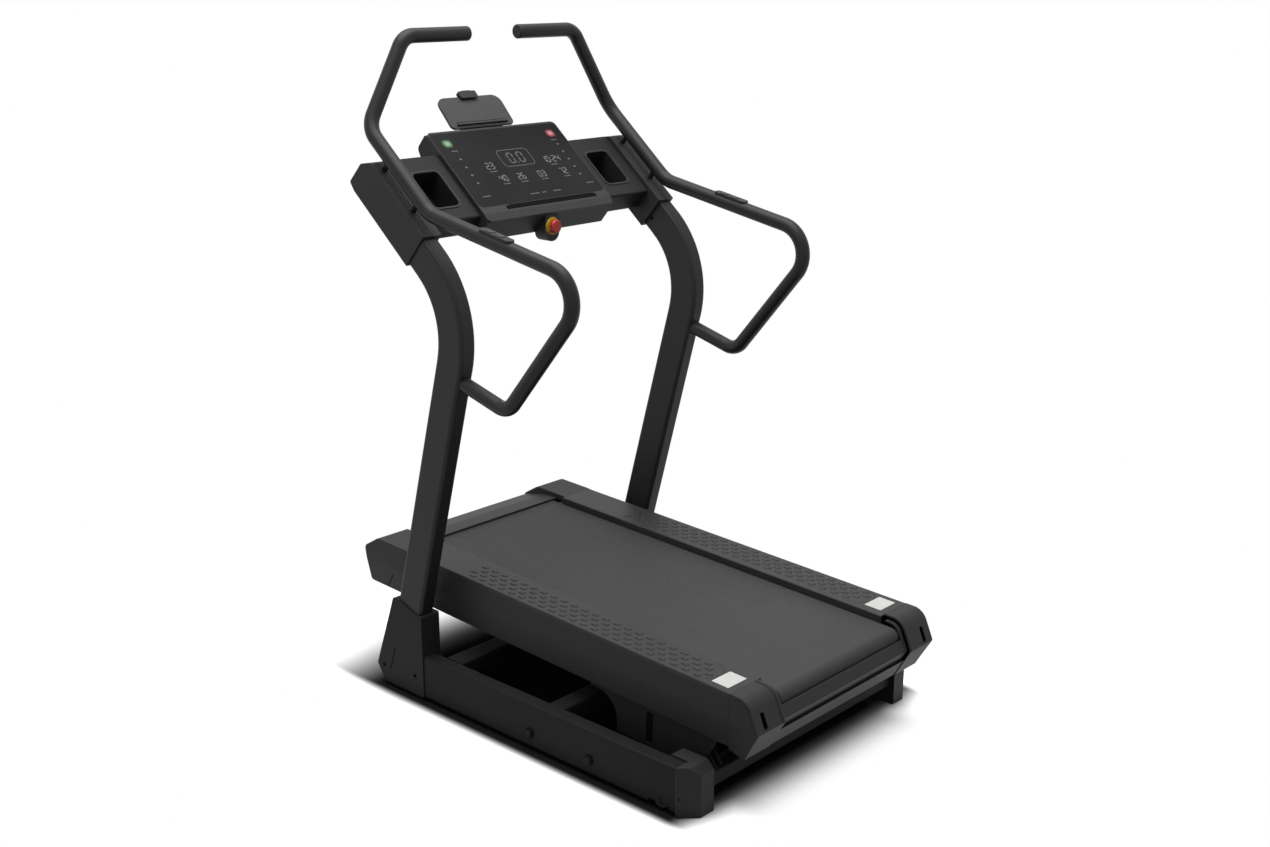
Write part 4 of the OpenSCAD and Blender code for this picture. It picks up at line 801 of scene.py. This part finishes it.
# %% The plate
REST_H, REST_T, REST_SKIN = 0.102, 0.007, 0.005
FOOT_CORNER, TOP_CORNER, PLATE_SOFT = 0.014, 0.028, 0.0014
LEDGE_UP, LEDGE_INSET, LEDGE_T, LEDGE_CORNER = 0.011, 0.044, 0.005, 0.0024
LEDGE_ROOT, LEDGE_RISE = 0.001, 0.0062
GROOVE_UP, GROOVE_WIDE, GROOVE_ROUND, GROOVE_DEEP = 0.0065, 0.004, 0.0019, 0.0014
CHANNEL_HALF, CHANNEL_UP, CHANNEL_DEEP, CHANNEL_SKIN = 0.0224, 0.02, 0.0055, 0.002
CLEAR = 0.01
BRACKET_HALF, BRACKET_UNDER = 0.07, 0.003
BRACKET_LINE = [(0.2693, -0.044), (0.295, -0.04), (0.347, -0.023), (0.296, -0.026), (0.2693, -0.016)]

rest = Slope((0, 0, 0), "tablet_rest")
rest_high = rest.span("tablet_rest")[1]
rest_face = rest_high.z - REST_SKIN
rest_top = rest_high.y
rest_foot = rest_top - REST_H


def tablet_rest_shape():
    outline = round_rect(0, rest_top - REST_H / 2, 2 * rest_high.x, REST_H, FOOT_CORNER, 8, TOP_CORNER)
    plate = prism(outline, rest_face - REST_T, rest_face)
    width, up = 2 * rest_high.x - LEDGE_INSET, rest_foot + LEDGE_UP
    outline = round_rect(0, up, width, LEDGE_T, LEDGE_CORNER)
    ledge = prism(outline, rest_face - LEDGE_ROOT, rest_face + LEDGE_RISE)
    channel = box(-CHANNEL_HALF, CHANNEL_HALF, rest_foot + CHANNEL_UP, rest_top + CLEAR,
                  rest_face - CHANNEL_DEEP, rest_face - CHANNEL_SKIN)
    outline = round_rect(0, up + GROOVE_UP, width, GROOVE_WIDE, GROOVE_ROUND)
    groove = prism(outline, rest_face - GROOVE_DEEP, rest_face + CLEAR)
    points, faces = carved(plate, PLATE_SOFT, joins=[ledge], cuts=[channel, groove])
    return rest.laid(points), faces


def bracket_shape():
    foot, back = glass_low.y - BRACKET_UNDER, glass_high.z
    points = [(x, foot + u, back + v) for x in (-BRACKET_HALF, BRACKET_HALF) for u, v in BRACKET_LINE]
    sides = [[i, i + 5, (i + 1) % 5 + 5, (i + 1) % 5] for i in range(5)]
    return console.laid(points), [[0, 1, 2, 3, 4], [9, 8, 7, 6, 5]] + sides


points, faces = joined([tablet_rest_shape(), bracket_shape()])
plate_piece = piece("tablet_rest_plate", points, faces, pebbled_plastic, "frame", "cover_plastic")
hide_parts("tablet_rest")

# %% [markdown]
# ## Clamp of the tablet rest
#
# A sprung clamp draws upwards out of the plate and holds the tablet's upper edge. Its arm
# runs in the plate's channel, and its head has a broad lip in front and a small cap on top.
# It rides on its own body, so it slides with its joint.

# %% The clamp
HEAD = (0.0065, 0.062, 0.0124, 0.004, -0.0051, 0.0082)
LIP = (-0.002, 0.062, 0.018, 0.005, 0.0042, 0.0086)
CAP = (0.0125, 0.034, 0.007, 0.003, -0.004, 0.006)
HEAD_SOFT, LIP_SOFT = 0.0012, 0.001
ARM_HALF, ARM_UP, ARM_OVER, ARM_DEEP, ARM_SKIN = 0.022, 0.026, 0.003, 0.0051, 0.0024


def clamp_part(up, width, height, corner, foot, top):
    """A block over the plate's top edge (up) whose foot and top count from the plate's face."""
    outline = round_rect(0, rest_top + up, width, height, corner)
    return prism(outline, rest_face + foot, rest_face + top)


def clamp_shape():
    arm = box(-ARM_HALF, ARM_HALF, rest_foot + ARM_UP, rest_top + ARM_OVER,
              rest_face - ARM_DEEP, rest_face - ARM_SKIN)
    lip = carved(clamp_part(*LIP), LIP_SOFT)
    cap = carved(clamp_part(*CAP), HEAD_SOFT)
    points, faces = carved(clamp_part(*HEAD), HEAD_SOFT, joins=[lip, cap, arm])
    return rest.laid(points), faces


clamp_piece = piece("tablet_clamp_head", *clamp_shape(), cover_plastic, "tablet_clamp", "cover_plastic")
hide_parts("tablet_clamp")

# %% [markdown]
# ## Bare plates on the foot rails
#
# Each foot rail ends in a plain pale plate where such machines carry a sticker. It is left
# bare: a thin sheet with rounded corners.

# %% Bare plates
PLATE_SIZE, PLATE_CORNER, PLATE_T = (0.068, 0.05), 0.002, 0.0003
PLATE_UP, PLATE_OUT = 0.045, 0.004
for side, sign in SIDES:
    low, high = deck.span(f"foot_rail_{side}")
    outline = round_rect((low.x + high.x) / 2 + sign * PLATE_OUT, low.y + PLATE_UP, *PLATE_SIZE, PLATE_CORNER)
    points, faces = prism(outline, high.z, high.z + PLATE_T)
    piece(f"bare_plate_{side}", deck.laid(points), faces, plate_white, "deck", "tread_plastic")

# %% [markdown]
# ## Screws
#
# A screw head is a low dome with a hexagon socket. It is turned from a profile, given in
# shares of its radius, so the helper takes a place, the direction in which the head looks,
# and its radius. Two screws hold each boot.

# %% Button-head screws
SCREW_PROFILE = [(1.0, 0.0), (1.0, 0.22), (0.9, 0.42), (0.66, 0.58), (0.5, 0.6)]
SOCKET_RADIUS, SOCKET_RIM, SOCKET_FLOOR = 0.46, 0.6, 0.1
AROUND, HEX_STEP = 24, 0.234


def screw_points():
    """The rings of a screw of radius 1 that looks up, from its rim to its socket's floor."""
    turns = [math.tau * i / AROUND for i in range(AROUND)]
    hexagon = [math.tau * (i // 4) / 6 + HEX_STEP * (i % 4) for i in range(AROUND)]
    rings = [(turns, r, h) for r, h in SCREW_PROFILE]
    rings += [(hexagon, SOCKET_RADIUS, h) for h in (SOCKET_RIM, SOCKET_FLOOR)]
    return [(r * math.cos(turn), r * math.sin(turn), h) for angles, r, h in rings for turn in angles]


def screw(name, spot, facing, radius):
    turn = Vector(facing).to_track_quat("Z", "Y").to_matrix().to_4x4()
    spin = Matrix.Translation(Vector(spot)) @ turn @ Matrix.Scale(radius, 4)
    faces = []
    for ring_start in range(0, (len(SCREW_PROFILE) + 1) * AROUND, AROUND):
        for i in range(AROUND):
            a, b = ring_start + i, ring_start + (i + 1) % AROUND
            faces.append([a, b, b + AROUND, a + AROUND])
    last = (len(SCREW_PROFILE) + 1) * AROUND
    faces += [[last + i for i in range(AROUND)], list(reversed(range(AROUND)))]
    points = [spin @ Vector(point) for point in screw_points()]
    # Painted shade: the heads wear the black shade finish, so that they read as dark holes.
    piece(name, points, faces, shadow_plastic, "frame", "black_paint")


BOOT_SCREW_RADIUS, BOOT_SCREW_SUNK = 0.0055, 0.001
boot_low, boot_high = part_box("boot_right")
boot_screws = [(boot_low[1] + 0.035, 0.064), (boot_high[1] - 0.027, 0.057)]
for side, sign in SIDES:
    for number, (y, z) in enumerate(boot_screws):
        spot = (sign * (boot_high[0] - BOOT_SCREW_SUNK), y, z)
        screw(f"boot_screw_{side}_{number + 1}", spot, (sign, 0, 0), BOOT_SCREW_RADIUS)

# %% [markdown]
# ## Dark prints
#
# A deep narrow recess lies in shade and reads as black, whatever its walls are made of.
# Thin black prints of painted shade stand in for the few that are shallow here. They lie on
# the machine's flanks, so a helper takes their outline along the flank and stands it up. The
# first ones are rings of painted shade round the rail bolts: the bolts' heads are found as
# the corners that stick out of the rails.

# %% Rings of painted shade round the rail bolts
PRINT_HALF = 0.0002
BOLT_SHADE_RADIUS, BOLT_SHADE_RISE, RING_CORNERS = 0.0145, 0.0003, 28
HEAD_RISE, HEADS_PER_METRE = 0.006, 20
rail_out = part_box("base_rail_right")[1][0]


def side_print(name, outline, x, body, place=Vector):
    """A thin black plate of painted shade whose outline lies in the plane x, as (along, up) pairs."""
    points, faces = prism(outline, abs(x) - PRINT_HALF, abs(x) + PRINT_HALF)
    room = [place((math.copysign(out, x), along, up)) for along, up, out in points]
    piece(name, room, faces if x > 0 else [face[::-1] for face in faces], shadow_plastic, body, "black_paint")


heads = {}
for vertex in nodes["frame_bolts"].data.vertices:
    if abs(vertex.co.x) > rail_out + HEAD_RISE:
        heads.setdefault((vertex.co.x > 0, round(vertex.co.y * HEADS_PER_METRE)), []).append(vertex.co)
for number, corners in enumerate(heads.values()):
    middle = sum(corners, Vector()) / len(corners)
    turns = [math.tau * i / RING_CORNERS for i in range(RING_CORNERS)]
    outline = [(middle.y + BOLT_SHADE_RADIUS * math.cos(turn), middle.z + BOLT_SHADE_RADIUS * math.sin(turn))
               for turn in turns]
    x = math.copysign(rail_out + BOLT_SHADE_RISE, middle.x)
    side_print(f"bolt_shade_ring_{number + 1}", outline, x, "frame")

# %% [markdown]
# ## Slots of the boots and shrouds
#
# A slanting seam crosses each boot, and each shroud below the deck has an upright slot;
# both get black prints of painted shade. A seam is a bead, a line with round ends. The
# shroud's slot tilts with the deck, so its points go through the deck's slope. A small
# screw holds each upright's cover.

# %% Painted shade of boot seams and shroud slots, and cover screws
SEAM_WIDTH, SEAM_RISE, BEAD_STEPS = 0.0035, 0.0001, 6
SLOT_SIZE, SLOT_CORNER, SLOT_SUNK = (0.021, 0.079), 0.004, 0.0017
COVER_SCREW_RADIUS, COVER_SCREW_SPOT, COVER_SCREW_SUNK = 0.005, (0.3157, 1.2016), 0.0004
boot_seam = ((boot_low[1] + 0.136, 0.056), (boot_low[1] + 0.115, 0.118))
shroud_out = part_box("pivot_shrouds")[1][0]
shroud_slot_shade = round_rect(0.123, deck.span("pivot_shrouds")[0].z + 0.05, *SLOT_SIZE, SLOT_CORNER)
upright_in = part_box("upright_right")[0][0]


def bead(ends, wide):
    """A round-ended line between two places, as an outline."""
    (a, b), (c, d) = ends
    lean = math.atan2(d - b, c - a)
    outline = []
    for (x, y), start in (((c, d), -math.pi / 2), ((a, b), math.pi / 2)):
        turns = [lean + start + math.pi * i / BEAD_STEPS for i in range(BEAD_STEPS + 1)]
        outline += [(x + wide / 2 * math.cos(turn), y + wide / 2 * math.sin(turn)) for turn in turns]
    return outline


for side, sign in SIDES:
    side_print(f"boot_groove_shade_{side}", bead(boot_seam, SEAM_WIDTH), sign * (boot_high[0] + SEAM_RISE), "frame")
    side_print(f"shroud_slot_shade_{side}", shroud_slot_shade, sign * (shroud_out - SLOT_SUNK), "deck",
               lambda point: deck.room(*point))
    spot = (sign * (upright_in + COVER_SCREW_SUNK), *COVER_SCREW_SPOT)
    screw(f"upright_screw_{side}", spot, (-sign, 0, 0), COVER_SCREW_RADIUS)

# %% [markdown]
# ## Ledge under the display
#
# Below the glass the face plate steps back, and the step lies in its own shade. A thin
# black print with slanting ends, a little right of the middle, stands for it.

# %% Shaded ledge
LEDGE_BOTTOM, LEDGE_TOP = glass_low.y - 0.0165, glass_low.y - 0.002
LEDGE_FOOT_X, LEDGE_TOP_X = (-0.147, 0.186), (-0.133, 0.178)
ledge_shade_outline = [(LEDGE_FOOT_X[0], LEDGE_BOTTOM), (LEDGE_FOOT_X[1], LEDGE_BOTTOM),
                 (LEDGE_TOP_X[1], LEDGE_TOP), (LEDGE_TOP_X[0], LEDGE_TOP)]
points, faces = prism(ledge_shade_outline, glass_high.z - 0.0004, glass_high.z + 0.0001)
piece("display_ledge_shade", console.laid(points), faces, shadow_plastic, "frame", "screen_panel")

# %% [markdown]
# ## Rims of the cup holders
#
# Each cup holder ends in a low stepped rim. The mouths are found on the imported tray, as
# the corners of its top face that lie well inside its ends, so the rims follow the tray.
# Two rings, one on the other, make the step. The table gives, for each ring, how much
# larger it is than the mouth, its corner, its width, its foot and its top.

# %% Rims of the cup holders
RIM_RINGS = ((0.013, 0.0205, 0.0062, -0.0004, 0.0016), (0.0105, 0.0192, 0.004, 0.0015, 0.0024))
FLAT_WITHIN, END_MARGIN = 0.0004, 0.01
tray_high = console.span("console_tray")[1]
near, far = glass_high.x + END_MARGIN, tray_high.x - END_MARGIN
mouth = [spot for spot in console.spots("console_tray")
         if tray_high.z - spot.z < FLAT_WITHIN and near < spot.x < far]
mouth_low, mouth_high = [[pick(spot[i] for spot in mouth) for i in (0, 1)] for pick in (min, max)]
mouth_x, mouth_u = [(high + low) / 2 for low, high in zip(mouth_low, mouth_high)]
mouth_w, mouth_h = [high - low for low, high in zip(mouth_low, mouth_high)]
for side, sign in SIDES:
    rings = [ring(sign * mouth_x, mouth_u, mouth_w + grow, mouth_h + grow, corner, width,
                  tray_high.z + bottom, tray_high.z + top) for grow, corner, width, bottom, top in RIM_RINGS]
    points, faces = joined(rings)
    piece(f"cup_rim_{side}", console.laid(points), faces, face_plastic, "frame", "cover_plastic")

# %% [markdown]
# ## Slots behind the front cover
#
# Where a side panel meets the front cover, a short slanting slot is left at the foot, and a
# black print of painted shade lies over it. The panel leans inwards below its crease, so the
# print's points are drawn in by the same lean.

# %% Painted shade in the cover slots
COVER_SLOT_SHADE_WIDTH, PANEL_DRAW, CREASE_DROP = 0.0032, 0.006, 0.004
panel_low, panel_high = deck.span("side_panel_right")
crease = (deck.span("foot_rail_right")[1].z + panel_low.z) / 2 - CREASE_DROP
panel_lean = PANEL_DRAW / (crease - panel_low.z)
slot_foot = (panel_high.y - 0.0008, panel_low.z + 0.003)
slot_head = (panel_high.y - 0.0278, panel_low.z + 0.0435)
cover_slot_shade = bead((slot_foot, slot_head), COVER_SLOT_SHADE_WIDTH)


def on_panel(point):
    x, u, v = point
    return deck.room(x - math.copysign(panel_lean * (crease - v), x), u, v)


for side, sign in SIDES:
    side_print(f"cover_slot_shade_{side}", cover_slot_shade, sign * (panel_high.x + SEAM_RISE), "deck", on_panel)

# %% [markdown]
# ## Lips of the end caps
#
# Each rear end cap has a raised lip along its inner edge. A half round is swept along the
# cap's own outline, which is the upper hull of its corners seen from the side.

# %% End cap lips
LIP_HALF, LIP_RISE, LIP_SUNK, LIP_STEPS, LIP_IN, LIP_LOWEST = 0.0048, 0.0034, 0.0004, 8, 0.005, 0.03


def upper_outline(name):
    """The top and rear of a node's outline along the deck, as (u, v)."""
    spots = sorted({(round(spot.y, 5), round(spot.z, 5)) for spot in deck.spots(name)})
    hull = []
    for spot in spots:
        while len(hull) > 1 and ((hull[-1][0] - hull[-2][0]) * (spot[1] - hull[-2][1])
                                 - (hull[-1][1] - hull[-2][1]) * (spot[0] - hull[-2][0])) >= 0:
            hull.pop()
        hull.append(spot)
    return hull


def cap_lip(side, sign):
    line = [spot for spot in upper_outline(f"end_cap_{side}") if spot[1] > LIP_LOWEST]
    inner = min(abs(corner[0]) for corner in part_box(f"end_cap_{side}")) + LIP_IN
    ring_size = LIP_STEPS + 1
    points = []
    for i, (u, v) in enumerate(line):
        ahead, behind = line[min(i + 1, len(line) - 1)], line[max(i - 1, 0)]
        along = Vector((ahead[0] - behind[0], ahead[1] - behind[1])).normalized()
        for turn in (math.pi * k / LIP_STEPS for k in range(ring_size)):
            rise = LIP_RISE * math.sin(turn) - LIP_SUNK
            points.append((sign * inner + LIP_HALF * math.cos(turn), u - along.y * rise, v + along.x * rise))
    starts = range(0, len(points) - ring_size, ring_size)
    corners = [i + k for i in starts for k in range(LIP_STEPS)]
    faces = [[i, i + ring_size, i + ring_size + 1, i + 1] for i in corners]
    faces += [[i, i + LIP_STEPS, i + LIP_STEPS + ring_size, i + ring_size] for i in starts]
    faces += [list(range(ring_size)), list(reversed(range(len(points) - ring_size, len(points))))]
    piece(f"cap_lip_{side}", deck.laid(points), faces, cover_plastic, "deck", "cover_plastic")


for side, sign in SIDES:
    cap_lip(side, sign)

# %% [markdown]
# ## Floor
#
# A product shot of a black machine wants a white floor with a soft shadow and no horizon.
# To light that bounces, the floor is a dark grey, so that the undersides stay dark. To the
# camera, reflections and refractions it has a soft dark print under the machine, as shade
# gathers there, which fades outwards, slowly in front and fast at the sides. Beyond it the
# floor is bright matt white, which still takes the machine's shadow, and then plain white.

# %% Lay the floor
FLOOR = 12
WHITE = (1, 1, 1, 1)
SIDE_START, SIDE_FADE = 0.012, 0.05
REAR_START, REAR_FADE = -0.055, 0.13
FRONT_START, FRONT_FADE = -0.02, 0.4
SHADE, MATT_WHITE = (0.02, 0.02, 0.02), (2.6, 2.6, 2.6)


def seen_rays(graph):
    """1 where the camera, a reflection or a refraction looks, and 0 where light bounces."""
    camera_ray = graph.node("ShaderNodeLightPath", {}, out="Is Camera Ray")
    return camera_ray + camera_ray.output("Is Glossy Ray") + camera_ray.output("Is Transmission Ray")


def away_from_base(finish):
    """How far a place is from the machine's base: 0 under it, 1 at the end of the fade."""
    x = finish.node("ShaderNodeSeparateXYZ", {}, finish.place(), out="X")
    y = x.output("Y")
    rear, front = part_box("rail_end_caps")[0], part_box("boot_right")[1]
    off_side = (abs(x) - (front[0] + SIDE_START)).at_least(0.0) / SIDE_FADE
    off_rear = ((rear[1] - REAR_START) - y).at_least(0.0) / REAR_FADE
    off_end = (y - (front[1] + FRONT_START)).at_least(0.0) / FRONT_FADE + off_rear
    return (off_side * off_side + off_end * off_end) ** 0.5


def floor_finish():
    finish = Finish("studio_floor", Roughness=0.9, Specular_IOR_Level=0.0)
    finish.set(Base_Color=finish.blend(finish.noise(0.6), (0.1, 0.1, 0.1), (0.12, 0.12, 0.12)))
    away = away_from_base(finish)
    smooth = {"interpolation_type": "SMOOTHSTEP"}
    lift = finish.node("ShaderNodeMapRange", smooth, away, 0.0, 1.0, 0.0, 1.0)
    spread = finish.node("ShaderNodeMapRange", smooth, away, 0.25, 1.6, 0.0, 1.0)
    shaded = finish.node("ShaderNodeBsdfDiffuse", {}, finish.blend(lift, SHADE, MATT_WHITE))
    plain = finish.node("ShaderNodeEmission", {}, WHITE, 1.0)
    white = finish.node("ShaderNodeMixShader", {}, spread, shaded, plain)
    body = Wire(finish, finish.shader.outputs[0])
    surface = finish.node("ShaderNodeMixShader", {}, seen_rays(finish), body, white)
    finish.feed(finish.tree.nodes["Material Output"].inputs["Surface"], surface)
    return finish.material


floor_mesh = bpy.data.meshes.new("studio_floor")
corners = [(-FLOOR, -FLOOR, 0), (FLOOR, -FLOOR, 0), (FLOOR, FLOOR, 0), (-FLOOR, FLOOR, 0)]
floor_mesh.from_pydata(corners, [], [(0, 1, 2, 3)])
floor_mesh.materials.append(floor_finish())
floor = bpy.data.objects.new("studio_floor", floor_mesh)
bpy.context.scene.collection.objects.link(floor)
print("floor laid")

# %% [markdown]
# ## Light
#
# One large soft box straight above and a weak one at the left: the tops read a shade
# lighter than the flanks. The world adds a dim even light, but wherever the camera, a
# reflection or a refraction looks, it is plain white, like the room of a studio.

# %% Light the room
WORLD_LIGHT = 0.2
world = bpy.data.worlds.new("studio_world")
world.use_nodes = True
bpy.context.scene.world = world
studio = Graph(world.node_tree)
dim_light = studio.node("ShaderNodeBackground", {}, WHITE, WORLD_LIGHT)
seen_white = studio.node("ShaderNodeBackground", {}, WHITE, 1.0)
surroundings = studio.node("ShaderNodeMixShader", {}, seen_rays(studio), dim_light, seen_white)
studio.feed(studio.tree.nodes["World Output"].inputs["Surface"], surroundings)


def softbox(name, place, aim, size, power):
    data = bpy.data.lights.new(name, "AREA")
    data.size = size
    data.energy = power
    lamp = bpy.data.objects.new(name, data)
    lamp.location = place
    lamp.rotation_euler = (Vector(aim) - Vector(place)).to_track_quat("-Z", "Y").to_euler()
    bpy.context.scene.collection.objects.link(lamp)
    print(name, "at", place)


softbox("overhead_softbox", (-0.2, 0.2, 4.6), (0, 0, 0.6), 3.6, 185)
softbox("left_softbox", (-4.2, -1.2, 3.2), (0, 0, 0.8), 2.4, 5)
